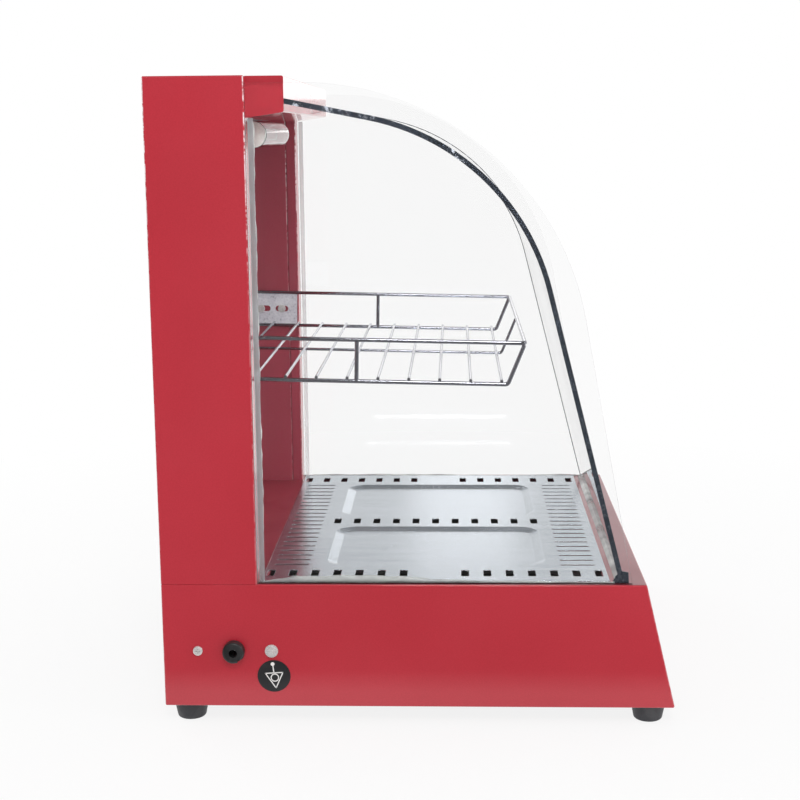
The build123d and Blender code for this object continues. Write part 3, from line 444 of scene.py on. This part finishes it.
# %% The panes, the doors and the lamp tube
SIDEWAYS, TO_THE_REAR, BENT, ROUND = (1.0, 0.0, 0.0), (0.0, 1.0, 0.0), (0.0, 1.0, 1.0), (1.0, 1.0, 1.0)
FINISHES["clear_glass"] = clear_glass("pane_glass", SIDEWAYS, 0.02)
SPECIAL["front_glass"] = clear_glass("bent_glass", BENT, 0.02)
SPECIAL["door_left"] = SPECIAL["door_right"] = clear_glass("door_glass", TO_THE_REAR, 0.03)
SPECIAL["lamp_bulb"] = clear_glass("lamp_glass", ROUND, 0.0, bending=1.1)
print("glass for the panes and", list(SPECIAL))

# %% [markdown]
# ## Sheet metals
#
# The floor plate, the control panel and the galvanised sheets differ mostly in how
# they were rolled. Brushed stainless steel has grain in one direction, and zinc has
# soft patches instead. An anisotropic shader could draw the grain, but it can't show
# single scratches, so the grain is noise stretched along the rolling direction.

# %% Brushed sheet
EDGE_ROUND_RADIUS = 0.0008
# The pale edge colour is a painted highlight.
EDGE_HIGHLIGHT_STEEL = linear(250, 250, 252)


def brushed_steel(name, dark, light, stretch, rough, depth=0.00002):
    """Steel with scratches along one way, rounded edges and a painted highlight along them."""
    material, tree, shader = surface(name, Metallic=1.0)
    grain = placed(tree, BRUSHING, Stretch=stretch)
    drift = placed(tree, MOTTLE, Broad_scale=7.0, Fine_scale=400.0, Fine_share=0.2)
    streaks = maths(tree, "MULTIPLY", grain["Streaks"], 0.35)
    tone = maths(tree, "ADD", streaks, maths(tree, "MULTIPLY", drift["Tone"], 0.65))
    colour = blend_colours(tree, tone, linear(*dark), linear(*light))
    # Edges and pan rims are painted pale: a painted highlight.
    edge_highlight = placed(tree, EDGE_WEAR_AND_HIGHLIGHT, Width=EDGE_ROUND_RADIUS, Sharpness=14.0, Break_up=30.0)
    pale = maths(tree, "MULTIPLY", edge_highlight["Mask"], 0.5)
    plug(tree, shader.inputs["Base Color"], blend_colours(tree, pale, colour, EDGE_HIGHLIGHT_STEEL))
    plug(tree, shader.inputs["Roughness"], remap(tree, tone, 0.0, 1.0, rough, rough + 0.08))
    rounded = rounded_normal(tree, EDGE_ROUND_RADIUS)
    bump = node(tree, "ShaderNodeBump", Strength=0.6, Distance=depth, Height=grain["Grain"], Normal=rounded)
    plug(tree, shader.inputs["Normal"], bump.outputs[0])
    return material


BRUSHED = {
    "panel_steel": dict(dark=(168, 170, 172), light=(196, 198, 200), stretch=(12.0, 700.0, 700.0), rough=0.3),
    "plate_steel": dict(dark=(190, 197, 204), light=(212, 218, 225), stretch=(1400.0, 60.0, 1400.0),
                        rough=0.2, depth=0.000003),
    "track_alloy": dict(dark=(186, 188, 190), light=(210, 212, 214), stretch=(14.0, 900.0, 900.0),
                        rough=0.32),
}
for name, values in BRUSHED.items():
    FINISHES[name] = brushed_steel(name, **values)
print("brushed", list(BRUSHED))

# %% Galvanised sheet
ZINC_GREYS = (linear(150, 155, 158), linear(188, 192, 194))


def galvanised_sheet():
    """Zinc with pale flakes, dull all over."""
    material, tree, shader = surface("galvanised_sheet", Metallic=1.0)
    flakes = node(tree, "ShaderNodeTexVoronoi", Vector=object_place(tree), Scale=120.0).outputs
    colour = blend_colours(tree, remap(tree, flakes["Color"], 0.2, 0.9), *ZINC_GREYS)
    plug(tree, shader.inputs["Base Color"], colour)
    dull = placed(tree, SMUDGES, Scale=30.0, Least=0.42, Most=0.6)
    plug(tree, shader.inputs["Roughness"], dull["Haze"])
    bumped(tree, shader, flakes["Distance"], 0.00004, 0.4)
    return material


FINISHES["galvanised"] = galvanised_sheet()
print("galvanised sheets are", FINISHES["galvanised"].name)

# %% [markdown]
# ## Chrome, plating and heat-dulled tube
#
# Chrome is the simplest metal of all: nearly white, nearly smooth, and all its looks
# come from what it mirrors. A perfect mirror looks drawn, so a few specks of dirt
# darken it. The same recipe with a rougher skin makes the alloy, the screws and the
# element tubes. The shelf lugs are zinc plated and have a crust instead, and their
# colour is lifted near white as painted light for the far lug, which the near column shades.


# %% Polished metals
def polished_metal(name, colour, least, most, specks, mirror=1.0):
    """Metal between its least and most roughness, with dark specks and its share of mirror."""
    material, tree, shader = surface(name, Metallic=mirror)
    drift = placed(tree, MOTTLE, Broad_scale=40.0, Fine_scale=1500.0, Fine_share=0.6)
    dirt = maths(tree, "MULTIPLY", drift["Specks"], specks)
    shaded = [c * 0.55 for c in linear(*colour)[:3]] + [1.0]
    plug(tree, shader.inputs["Base Color"], blend_colours(tree, dirt, linear(*colour), shaded))
    plug(tree, shader.inputs["Roughness"], remap(tree, drift["Tone"], 0.0, 1.0, least, most))
    bumped(tree, shader, drift["Tone"], 0.00002, 0.25)
    return material


POLISHED = {
    "wire_chrome": dict(colour=(176, 176, 184), least=0.05, most=0.14, specks=0.3),
    "bright_screw": dict(colour=(232, 229, 228), least=0.18, most=0.34, specks=0.6, mirror=0.4),
    "cap_metal": dict(colour=(196, 197, 198), least=0.22, most=0.38, specks=0.3),
    "filament_wire": dict(colour=(120, 118, 116), least=0.3, most=0.5, specks=0.2),
    "thermostat_case": dict(colour=(184, 186, 186), least=0.35, most=0.5, specks=0.3),
    "element_sheath": dict(colour=(96, 92, 88), least=0.4, most=0.62, specks=0.5),
}
for name, values in POLISHED.items():
    FINISHES[name] = polished_metal(name, **values)
print("polished", list(POLISHED))

# %% Satin plating of the shelf lugs
# The lifted whites are painted light.
LIFTED_PLATING_WHITES = (linear(214, 211, 220), linear(250, 248, 253))


def satin_plating():
    """Zinc with a fine crust: part mirror, mostly skin lifted near white as painted light."""
    material, tree, shader = surface("satin_plating", Metallic=0.2)
    crust = placed(tree, MOTTLE, Broad_scale=90.0, Fine_scale=420.0, Fine_share=0.6)["Tone"]
    plug(tree, shader.inputs["Base Color"], blend_colours(tree, crust, *LIFTED_PLATING_WHITES))
    plug(tree, shader.inputs["Roughness"], remap(tree, crust, 0.0, 1.0, 0.24, 0.42))
    bumped(tree, shader, crust, 0.0002, 0.7)
    return material


SPECIAL["shelf_lug_left"] = SPECIAL["shelf_lug_right"] = satin_plating()
print("lugs are", SPECIAL["shelf_lug_left"].name)

# %% [markdown]
# ## Plastics, rubber and silicone
#
# Moulded plastic has a fine spark-eroded texture, and rubber is duller and catches
# dust. Both are dielectrics: the colour sits under the skin, and the shine on top is
# white. One function with a few values covers them all. Silicone could be refracting
# glass, but its streaks would not show, so it is a milky skin whose alpha varies.

# %% Moulded pieces
DUST = linear(150, 150, 150)


def moulded(name, colour, least, most, texture, depth, dust):
    """Plastic or rubber between its least and most roughness, under a veil of dust."""
    material, tree, shader = surface(name)
    tone = placed(tree, MOTTLE, Broad_scale=25.0, Fine_scale=texture, Fine_share=0.5)["Tone"]
    base = linear(*colour)
    lifted = [min(1.0, c * 1.15 + 0.004) for c in base[:3]] + [1.0]
    veil = placed(tree, SMUDGES, Scale=60.0, Least=0.0, Most=dust)["Haze"]
    body = blend_colours(tree, tone, base, lifted)
    plug(tree, shader.inputs["Base Color"], blend_colours(tree, veil, body, DUST))
    plug(tree, shader.inputs["Roughness"], remap(tree, tone, 0.0, 1.0, least, most))
    bumped(tree, shader, tone, depth, 0.5)
    return material


MOULDED = {
    "black_rubber": dict(colour=(42, 43, 48), least=0.42, most=0.62, texture=900.0, depth=5e-5, dust=0.12),
    "white_holder": dict(colour=(226, 226, 222), least=0.2, most=0.34, texture=500.0, depth=2e-5, dust=0.05),
    "pull_plastic": dict(colour=(28, 28, 30), least=0.2, most=0.36, texture=1200.0, depth=2e-5, dust=0.08),
    "control_plastic": dict(colour=(24, 24, 26), least=0.3, most=0.48, texture=1600.0, depth=4e-5, dust=0.1),
    "rocker_plastic": dict(colour=(172, 30, 24), least=0.18, most=0.3, texture=1200.0, depth=2e-5, dust=0.05),
    "pilot_lens": dict(colour=(214, 96, 30), least=0.08, most=0.16, texture=300.0, depth=2e-5, dust=0.02),
    "block_plastic": dict(colour=(222, 218, 204), least=0.4, most=0.55, texture=900.0, depth=3e-5, dust=0.1),
    "mark_black": dict(colour=(22, 22, 26), least=0.3, most=0.42, texture=700.0, depth=2e-5, dust=0.04),
    "mark_white": dict(colour=(232, 232, 230), least=0.4, most=0.5, texture=700.0, depth=2e-5, dust=0.02),
}
for name, values in MOULDED.items():
    FINISHES[name] = moulded(name, **values)
print("moulded", list(MOULDED))


# %% Milky pieces
def milky(name, dark, light, solid_share, stretch):
    """Clear silicone or soft profile: a milky skin that partly lets through what is behind."""
    material, tree, shader = surface(name, IOR=1.41)
    film = placed(tree, BRUSHING, Stretch=stretch)
    colour = blend_colours(tree, film["Streaks"], linear(*dark), linear(*light))
    plug(tree, shader.inputs["Base Color"], colour)
    plug(tree, shader.inputs["Roughness"], remap(tree, film["Grain"], 0.2, 0.8, 0.06, 0.25))
    cover = remap(tree, film["Streaks"], 0.0, 1.0, solid_share - 0.18, solid_share + 0.18)
    plug(tree, shader.inputs["Alpha"], cover)
    bumped(tree, shader, film["Grain"], 0.0004, 0.5)
    return material


EVEN, UPRIGHT = (160.0, 160.0, 160.0), (600.0, 600.0, 9.0)
FINISHES["clear_silicone"] = milky("clear_silicone", (196, 196, 196), (246, 246, 244), 0.6, EVEN)
SPECIAL["edge_strip_left"] = milky("near_profile", (150, 152, 156), (212, 213, 214), 0.42, UPRIGHT)
SPECIAL["edge_strip_right"] = milky("far_profile", (206, 208, 210), (244, 245, 246), 0.2, UPRIGHT)
print("milky finishes for silicone and two edge strips")

# %% [markdown]
# ## The dark seal
#
# A black seal follows the bent glass round its curve and draws the strongest line of
# the whole warmer. It is slate rather than black, looks wet, and near the top it is
# flecked with scraps of silicone whose pale colour is partly a painted highlight.
# Loose flecks could be small pieces, but they lie in the skin of the seal, so a mask
# in the colour does it.

# %% Edge seal
SLATES = (linear(24, 30, 38), linear(66, 72, 84))
# The fleck colour is partly a painted highlight.
FLECK_GLINT = linear(206, 210, 222)
FLECK_GLINTS_FROM = (0.49, 0.55)


def edge_seal():
    """Slate-black seal, wet-looking, with pale flecks near the top: silicone and painted highlight."""
    material, tree, shader = surface("edge_seal", Specular_IOR_Level=0.6)
    place = object_place(tree)
    grain = noise(tree, place, 70.0, 4.0, Roughness=0.75)
    # Near the top the pale flecks are partly silicone scraps, partly a painted highlight.
    high = remap(tree, split(tree, place)["Z"], *FLECK_GLINTS_FROM)
    flecks = maths(tree, "MULTIPLY", remap(tree, grain, 0.58, 0.64), high)
    slate = blend_colours(tree, grain, *SLATES)
    plug(tree, shader.inputs["Base Color"], blend_colours(tree, flecks, slate, FLECK_GLINT))
    plug(tree, shader.inputs["Roughness"], remap(tree, grain, 0.3, 0.7, 0.16, 0.34))
    bumped(tree, shader, grain, 0.0005, 0.5)
    return material


SPECIAL["glass_gasket_left"] = SPECIAL["glass_gasket_right"] = edge_seal()
print("both seals are", SPECIAL["glass_gasket_left"].name)

# %% [markdown]
# ## Dressing the CAD pieces
#
# The record of the CAD model gives every piece a slot, which names what it is made
# of. Materials could be set piece by piece, but most pieces follow their slot, and
# only the few special ones above are set by name.

# %% Finishes onto pieces
finish_of = {part["node"]: part["material_slot"] for part in frame["record"]["subparts"]}
for name, piece in nodes.items():
    piece.data.materials.clear()
    piece.data.materials.append(SPECIAL.get(name, FINISHES[finish_of[name]]))
print(len(nodes), "pieces dressed,", len(SPECIAL), "of them by name")

# %% [markdown]
# ## Silicone squeezed from the joints
#
# Whoever glued the panes left uneven beads of clear silicone along the foot of each
# pane and smears beside them. A bead could be a displaced tube. It is laid here ring
# by ring, the way a nozzle lays it: each ring has its own width and height from a
# seeded random walk, so the bead swells and thins but never breaks.


# %% Helpers for laying beads
def add_piece(name, mesh_maker, finish, body, smooth=True):
    """A mesh object from a function that fills a bmesh, finished and riding on a body."""
    shape = bmesh.new()
    mesh_maker(shape)
    bmesh.ops.recalc_face_normals(shape, faces=shape.faces)
    mesh = bpy.data.meshes.new(name)
    shape.to_mesh(mesh)
    shape.free()
    mesh.polygons.foreach_set("use_smooth", [smooth] * len(mesh.polygons))
    piece = bpy.data.objects.new(name, mesh)
    bpy.context.scene.collection.objects.link(piece)
    piece.data.materials.append(finish)
    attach(piece, body)
    print("added", name, "with", len(mesh.vertices), "points, on", body)


def lay_rings(shape, rings):
    """Skins a row of equal rings of points and closes both ends."""
    rows = [[shape.verts.new(point) for point in ring] for ring in rings]
    count = len(rows[0])
    for here, there in zip(rows, rows[1:]):
        for i in range(count):
            j = (i + 1) % count
            shape.faces.new((here[i], here[j], there[j], there[i]))
    shape.faces.new(list(reversed(rows[0])))
    shape.faces.new(rows[-1])


def walk(rng, count, low, high, step):
    """A random walk between two limits, smoothed over five neighbours."""
    value = (low + high) / 2
    values = []
    for _ in range(count):
        value = min(high, max(low, value + rng.uniform(-step, step)))
        values.append(value)
    windows = [values[max(0, i - 2):i + 3] for i in range(count)]
    return [sum(window) / len(window) for window in windows]


print("a short walk", [round(v, 2) for v in walk(random.Random(1), 5, 0.0, 1.0, 0.3)])

# %% Beads at the foot of the side panes
PANE_INNER = (CASE_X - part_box("side_pane_left")[1].x) / MM
RING_SIDES = 8
BEAD_START, BEAD_STEP, BEAD_RINGS = 104.0, 3.0, 110
BEAD_WIDTHS = dict(low=0.6, high=3.0, step=0.8)
BEAD_HEIGHTS = dict(low=0.5, high=2.4, step=0.6)


def foot_bead(side, seed):
    """A bead in the corner between a pane's inner face and the deck."""
    rng = random.Random(seed)
    widths = walk(rng, BEAD_RINGS, **BEAD_WIDTHS)
    heights = walk(rng, BEAD_RINGS, **BEAD_HEIGHTS)

    def fill(shape):
        rings = []
        for step, (width, height) in enumerate(zip(widths, heights)):
            depth = BEAD_START + BEAD_STEP * step
            ring = [spot(side * PANE_INNER, depth, DECK)]
            for i in range(RING_SIDES):
                turn = math.pi / 2 * i / (RING_SIDES - 1)
                inward = PANE_INNER - width * math.cos(turn)
                ring.append(spot(side * inward, depth, DECK + height * math.sin(turn)))
            rings.append(ring)
        lay_rings(shape, rings)

    return fill


SILICONE = FINISHES["clear_silicone"]
for name, side, seed in (("left", -1, 11), ("right", 1, 12)):
    add_piece(f"foot_silicone_{name}", foot_bead(side, seed), SILICONE, "cabinet")

# %% [markdown]
# ## A smear and a few scraps
#
# On the near pane the silicone was wiped upwards, so a thin film ends in a thicker
# upper edge. A thread of scraps clings to the near edge strip. Both could be painted
# as masks on the glass, but they catch light from the side as solids do, so they are
# rings of points again.

# %% A smear on the near pane
SMEAR_START, SMEAR_END, SMEAR_RINGS = 97.0, 304.0, 140
SMEAR_LEAST, SMEAR_RISE = 1.2, 5.6
SMEAR_RUN_UP, SMEAR_RUN_OUT = 7.0, 2.2
SMEAR_RIPPLE = dict(low=-0.9, high=0.9, step=0.5)
SMEAR_SEED = 21


def pane_smear(shape):
    """A thin film wiped up the inside of the left pane, with a thicker upper edge."""
    ripple = walk(random.Random(SMEAR_SEED), SMEAR_RINGS, **SMEAR_RIPPLE)
    rings = []
    for i in range(SMEAR_RINGS):
        share = i / (SMEAR_RINGS - 1)
        rise = SMEAR_RISE * min(1.0, SMEAR_RUN_UP * share, SMEAR_RUN_OUT * (1.0 - share))
        top = DECK + SMEAR_LEAST + rise + ripple[i]
        depth = SMEAR_START + (SMEAR_END - SMEAR_START) * share
        profile = ((0.0, DECK), (0.0, top), (0.8, top - 0.1), (1.1, top - 0.8), (0.5, top - 1.6), (0.3, DECK))
        rings.append([spot(-PANE_INNER + x, depth, z) for x, z in profile])
    lay_rings(shape, rings)


add_piece("pane_smear", pane_smear, SILICONE, "cabinet")

# %% Scraps along the near edge strip
SCRAP_RINGS = 260
SCRAP_MARGIN = 4.0 * MM
SCRAP_SIZES = dict(low=0.1, high=1.1, step=0.6)
SCRAP_DRIFT = dict(low=-0.9, high=0.2, step=0.5)
SCRAP_SEED = 31


def strip_scraps(shape):
    """An uneven thread of silicone down the front edge of the near edge strip."""
    rng = random.Random(SCRAP_SEED)
    low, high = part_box("edge_strip_left")
    fat = walk(rng, SCRAP_RINGS, **SCRAP_SIZES)
    drift = walk(rng, SCRAP_RINGS, **SCRAP_DRIFT)
    length = high.z - low.z - 2 * SCRAP_MARGIN
    rings = []
    for i in range(SCRAP_RINGS):
        height = low.z + SCRAP_MARGIN + length * i / (SCRAP_RINGS - 1)
        ring = []
        for k in range(RING_SIDES):
            turn = 2 * math.pi * k / RING_SIDES
            x = high.x + fat[i] * MM * (0.6 * math.cos(turn) - 0.4)
            y = low.y - (drift[i] + fat[i] * math.sin(turn)) * MM
            ring.append(Vector((x, y, height)))
        rings.append(ring)
    lay_rings(shape, rings)


add_piece("strip_scraps", strip_scraps, SILICONE, "cabinet")

# %% [markdown]
# ## The bonding disc on the side
#
# Below the bonding terminal sits a round black disc with a plain white terminal
# sign. A texture would need an image, so the sign is real geometry: thin plates
# that stand a tenth of a millimetre proud of the disc.

# %% Bonding disc
SIDE_FACE = -HALF_WIDTH
DISC_D, DISC_Z, DISC_R, DISC_THICK = 106.3, 48.8, 15.9, 0.3


def flat_plate(shape, outline, thick, face_x):
    """A thin plate on the left side of the case, from a (depth, height) outline."""
    lay_rings(shape, [[spot(x, d, z) for d, z in outline] for x in (face_x, face_x - thick)])


def circle(depth, height, radius, count=64):
    """A round outline of (depth, height) points."""
    turns = [2 * math.pi * i / count for i in range(count)]
    return [(depth + radius * math.cos(t), height + radius * math.sin(t)) for t in turns]


def disc(shape):
    flat_plate(shape, circle(DISC_D, DISC_Z, DISC_R), DISC_THICK, SIDE_FACE)


add_piece("bonding_disc", disc, FINISHES["mark_black"], "cabinet", smooth=False)

# %% Sign on the disc
SIGN_FACE = SIDE_FACE - DISC_THICK
UPPER_REAR, UPPER_FRONT, LOWER_TIP = (-8.3, 2.6), (8.6, 3.7), (1.8, -12.0)
STEM_FOOT, STEM_HEAD = (0.0, 3.2), (-1.1, 12.0)
LINE_WIDTH, LINE_THICK = 1.0, 0.1
RING_AT, RING_R, RING_PARTS = (0.8, -1.6), 4.1, 48
BALL_R, BALL_PARTS = 1.9, 24
ROUND_THICK = 0.15


def stroke(shape, start, end):
    """A straight line of the sign, from two places measured from the disc's middle."""
    (d0, z0), (d1, z1) = start, end
    along = Vector((d1 - d0, z1 - z0)).normalized() * LINE_WIDTH / 2
    across = Vector((-along.y, along.x))
    first, last = Vector(start) - along, Vector(end) + along
    corners = [first + across, last + across, last - across, first - across]
    flat_plate(shape, [(DISC_D + c.x, DISC_Z + c.y) for c in corners], LINE_THICK, SIGN_FACE)


def disc_sign(shape):
    """An open triangle that points down, a ring inside it and a stem with a ball above."""
    for start, end in ((UPPER_REAR, UPPER_FRONT), (UPPER_REAR, LOWER_TIP), (UPPER_FRONT, LOWER_TIP),
                       (STEM_FOOT, STEM_HEAD)):
        stroke(shape, start, end)
    ring_middle = (DISC_D + RING_AT[0], DISC_Z + RING_AT[1])
    outer = circle(*ring_middle, RING_R, RING_PARTS)
    inner = circle(*ring_middle, RING_R - LINE_WIDTH, RING_PARTS)
    for i in range(RING_PARTS):
        j = (i + 1) % RING_PARTS
        flat_plate(shape, [outer[i], outer[j], inner[j], inner[i]], ROUND_THICK, SIGN_FACE)
    ball = circle(DISC_D + STEM_HEAD[0], DISC_Z + STEM_HEAD[1], BALL_R, BALL_PARTS)
    flat_plate(shape, ball, ROUND_THICK, SIGN_FACE)


add_piece("bonding_disc_sign", disc_sign, FINISHES["mark_white"], "cabinet", smooth=False)

# %% [markdown]
# ## The foot of the near seal
#
# Where the near seal meets the deck, the dark line widens into a dab in the seal's
# finish. A blob from a sculpting brush would do, but from the side only its outline
# shows, so it is a small plate between the seal's face and the pane.

# %% Seal foot
DAB_INSET, DAB_THICK = 0.15, 1.15
SEAL_INNER = (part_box("glass_gasket_left")[1].x - CASE_X) / MM
DAB_OUTLINE = ((428.5, 0.2), (444.5, 0.2), (444.0, 10.5), (436.5, 12.0), (432.0, 7.0))


def seal_foot(shape):
    """A dark dab in the seal's finish, in the corner where the left seal meets the deck."""
    flat_plate(shape, [(depth, DECK + height) for depth, height in DAB_OUTLINE], DAB_THICK,
               SEAL_INNER - DAB_INSET)


add_piece("seal_foot", seal_foot, SPECIAL["glass_gasket_left"], "cabinet", smooth=False)

# %% [markdown]
# ## Marks on the rear controls
#
# The rear panel carries a printed scale round the knob, and the knob and the switches
# have white marks moulded in. Each mark is a thin plate again. The knob and the
# rockers aren't flat, so every corner of a mark is dropped onto the surface below it
# with a ray, and the plate follows the slope.

# %% Marks dropped onto a surface
MARK_THICK = 0.12 * MM
RAY_START_Y = 1.0


def ground_of(piece):
    """A function that gives the rearmost point of a piece at a place across and up."""
    mesh = piece.data
    tree = BVHTree.FromPolygons([v.co for v in mesh.vertices], [tuple(p.vertices) for p in mesh.polygons])

    def find(x, z):
        return tree.ray_cast(Vector((x, RAY_START_Y, z)), Vector((0, -1, 0)))[0]

    return find


def laid_mark(shape, outline, ground):
    """A thin plate on a rear-facing surface, from an outline of (x, z) points in metres."""
    low = [ground(x, z) for x, z in outline]
    lay_rings(shape, [low, [point + Vector((0, MARK_THICK, 0)) for point in low]])


def turned_bar(centre, start, end, half, turn):
    """The corners of a bar that points out of a centre, turned clockwise from upright."""
    corners = ((-half, start), (half, start), (half, end), (-half, end))
    across, out = Vector((math.cos(turn), -math.sin(turn))), Vector((math.sin(turn), math.cos(turn)))
    return [Vector(centre) + (across * x + out * z) * MM for x, z in corners]


def centre_of(name):
    """The middle of a piece, seen from the rear."""
    low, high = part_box(name)
    return (low.x + high.x) / 2, (low.z + high.z) / 2


knob_at = centre_of("thermostat_knob")
print("knob at", [round(v / MM, 1) for v in knob_at])

# %% Scale round the knob, and its pointer
DIAL_MARKS, DIAL_SPAN = 11, 270.0
DIAL_INNER, DIAL_SHORT, DIAL_LONG, DIAL_HALF = 24.5, 27.5, 29.5, 0.35
POINTER_INNER, POINTER_OUTER, POINTER_HALF = 9.0, 17.0, 0.6


def dial_scale(shape):
    """Short marks over the knob's turn, with a long one at both ends and in the middle."""
    ground = ground_of(nodes["control_panel"])
    for step in range(DIAL_MARKS):
        turn = math.radians(DIAL_SPAN * (step / (DIAL_MARKS - 1) - 0.5))
        reach = DIAL_LONG if step % 5 == 0 else DIAL_SHORT
        laid_mark(shape, turned_bar(knob_at, DIAL_INNER, reach, DIAL_HALF, turn), ground)


def knob_pointer(shape):
    """A white bar on the top of the knob's rim."""
    bar = turned_bar(knob_at, POINTER_INNER, POINTER_OUTER, POINTER_HALF, 0.0)
    laid_mark(shape, bar, ground_of(nodes["thermostat_knob"]))


add_piece("dial_scale", dial_scale, FINISHES["mark_black"], "cabinet", smooth=False)
add_piece("knob_pointer", knob_pointer, FINISHES["mark_white"], "knob", smooth=False)

# %% On and off marks of the rockers
ON_OFF_APART = 5.5
ON_HALF_LENGTH, ON_HALF_WIDTH = 2.0, 0.45
OFF_OUTER, OFF_INNER, OFF_PARTS = 2.2, 1.5, 24


def rocker_marks(rocker):
    """A bar above the rocker's middle for on, and a ring below it for off."""
    def fill(shape):
        ground = ground_of(nodes[rocker])
        x, z = centre_of(rocker)
        on_at = (x, z + ON_OFF_APART * MM)
        laid_mark(shape, turned_bar(on_at, -ON_HALF_LENGTH, ON_HALF_LENGTH, ON_HALF_WIDTH, 0.0), ground)
        off_z = z - ON_OFF_APART * MM
        for i in range(OFF_PARTS):
            start, end = 2 * math.pi * i / OFF_PARTS, 2 * math.pi * (i + 1) / OFF_PARTS
            corners = ((OFF_OUTER, start), (OFF_OUTER, end), (OFF_INNER, end), (OFF_INNER, start))
            outline = [(x + r * MM * math.cos(t), off_z + r * MM * math.sin(t)) for r, t in corners]
            laid_mark(shape, outline, ground)

    return fill


for kind in ("heat", "light"):
    marks = rocker_marks(f"{kind}_switch_rocker")
    add_piece(f"{kind}_rocker_marks", marks, FINISHES["mark_white"], f"{kind}_rocker", smooth=False)

# %% [markdown]
# ## A pale studio
#
# The photograph has a pure white surround and very even light. More light would
# burn the steel out, so the surround is white only where the camera sees it, plainly
# or through glass, where a strength of one is white. Ordinary surfaces get a gentler
# level. Mirrors see a white sheet behind the warmer and a dim room before it: shiny
# enamel is pale where it is seen at a slant, and deep red where it faces the room.
# The Light Path node tells these rays apart by what they bounced off on their way.

# %% World
WORLD_LEVEL = 0.66
ROOM_LEVEL = 0.18
SHEET_STARTS_X = (-0.2, 0.4)
SHEET_FADES_Z = (0.2, 0.6)
HIGH_SHEET_LEVEL = 0.3

world = bpy.data.worlds.new("pale_studio")
bpy.context.scene.world = world
world.use_nodes = True
sky = world.node_tree
background = sky.nodes["Background"]
background.inputs["Color"].default_value = (1, 1, 1, 1)
way = split(sky, node(sky, "ShaderNodeTexCoord").outputs["Generated"])
brightness = remap(sky, way["Z"], *SHEET_FADES_Z, 1.0, HIGH_SHEET_LEVEL)
mirrored = maths(sky, "MAXIMUM", remap(sky, way["X"], *SHEET_STARTS_X, 0.0, brightness), ROOM_LEVEL)
by_mirror, by_dull = bounces(sky)
seen = remap(sky, by_mirror, 0.0, 1.0, 1.0, mirrored)
plug(sky, background.inputs["Strength"], remap(sky, by_dull, 0.0, 1.0, seen, WORLD_LEVEL))
print("white sheet behind, room at", ROOM_LEVEL)

# %% [markdown]
# ## The floor
#
# The floor is a plain pale sheet that fades to pure white. A floor lit until it clips
# would throw so much light back that the red washes out. So it shines white only for
# the camera and for mirrors, and is ordinary paper for the light that bounces. Close
# to the warmer less of it shines, so that the warmer's own shadow stays.

# %% Floor
FLOOR_HALF = 30.0
FLOOR_GREY = (0.86, 0.86, 0.86, 1)
FLOOR_SHEET_X = (-0.37, -0.31)
SHADOW_FADES = (0.3, 1.2)
NEAR_WHITE = 0.86


def studio_floor():
    """Pale paper that shines for the camera and for mirrors alone."""
    material, tree, shader = surface(
        "studio_floor", Roughness=0.9, Specular_IOR_Level=0.0, Base_Color=FLOOR_GREY)
    place = object_place(tree)
    by_mirror, by_dull = bounces(tree)
    mirrored = remap(tree, split(tree, place)["X"], *FLOOR_SHEET_X, ROOM_LEVEL, 1.0)
    strength = remap(tree, by_mirror, 0.0, 1.0, 1.0, mirrored)
    shine = node(tree, "ShaderNodeEmission", Color=(1, 1, 1, 1), Strength=strength)
    away = vector_maths(tree, "LENGTH", place)["Value"]
    white = maths(tree, "MAXIMUM", remap(tree, away, *SHADOW_FADES, NEAR_WHITE, 1.0), by_mirror)
    share = maths(tree, "MULTIPLY", white, maths(tree, "SUBTRACT", 1.0, by_dull))
    mixed = node(tree, "ShaderNodeMixShader", i0=share, i1=shader.outputs[0], i2=shine.outputs[0])
    plug(tree, tree.nodes["Material Output"].inputs["Surface"], mixed.outputs[0])
    return material


corners = [(x * FLOOR_HALF, y * FLOOR_HALF, 0) for x, y in ((-1, -1), (1, -1), (1, 1), (-1, 1))]
floor_mesh = bpy.data.meshes.new("floor")
floor_mesh.from_pydata(corners, [], [(0, 1, 2, 3)])
floor = bpy.data.objects.new("floor", floor_mesh)
bpy.context.scene.collection.objects.link(floor)
floor.data.materials.append(studio_floor())
print("floor", 2 * FLOOR_HALF, "m across")

# %% [markdown]
# ## Lamps
#
# Even light could come from the world alone, but then nothing on the warmer would
# glint. Four soft lamps shape it, and a weak fifth one behind it is there for the
# bright patch that the floor plate mirrors.

# %% Lamps
LAMPS = {
    "key_lamp": dict(place=(-1.8, -0.1, 1.8), aim=(0, 0.1, 0.5), size=0.5, watts=13),
    "front_lamp": dict(place=(-0.9, -2.0, 1.2), aim=(0, 0, 0.3), size=0.3, watts=8),
    "top_lamp": dict(place=(0.2, -0.2, 2.3), aim=(0, -0.05, 0.1), size=0.9, watts=2),
    "back_lamp": dict(place=(1.4, 1.8, 1.5), aim=(0, 0, 0.3), size=0.9, watts=9),
    "glow_lamp": dict(place=(2.554, -0.067, 0.8), aim=(0, 0, 0.14), size=0.3, watts=0.26),
}


def soft_lamp(name, place, aim, size, watts):
    """A square lamp that faces the point it aims at."""
    data = bpy.data.lights.new(name, "AREA")
    data.size = size
    data.energy = watts
    lamp = bpy.data.objects.new(name, data)
    bpy.context.scene.collection.objects.link(lamp)
    lamp.location = place
    lamp.rotation_mode = "QUATERNION"
    lamp.rotation_quaternion = (Vector(aim) - Vector(place)).to_track_quat("-Z", "Y")


for name, values in LAMPS.items():
    soft_lamp(name, **values)
bpy.context.scene.view_settings.view_transform = "Standard"
print("lamps", list(LAMPS))
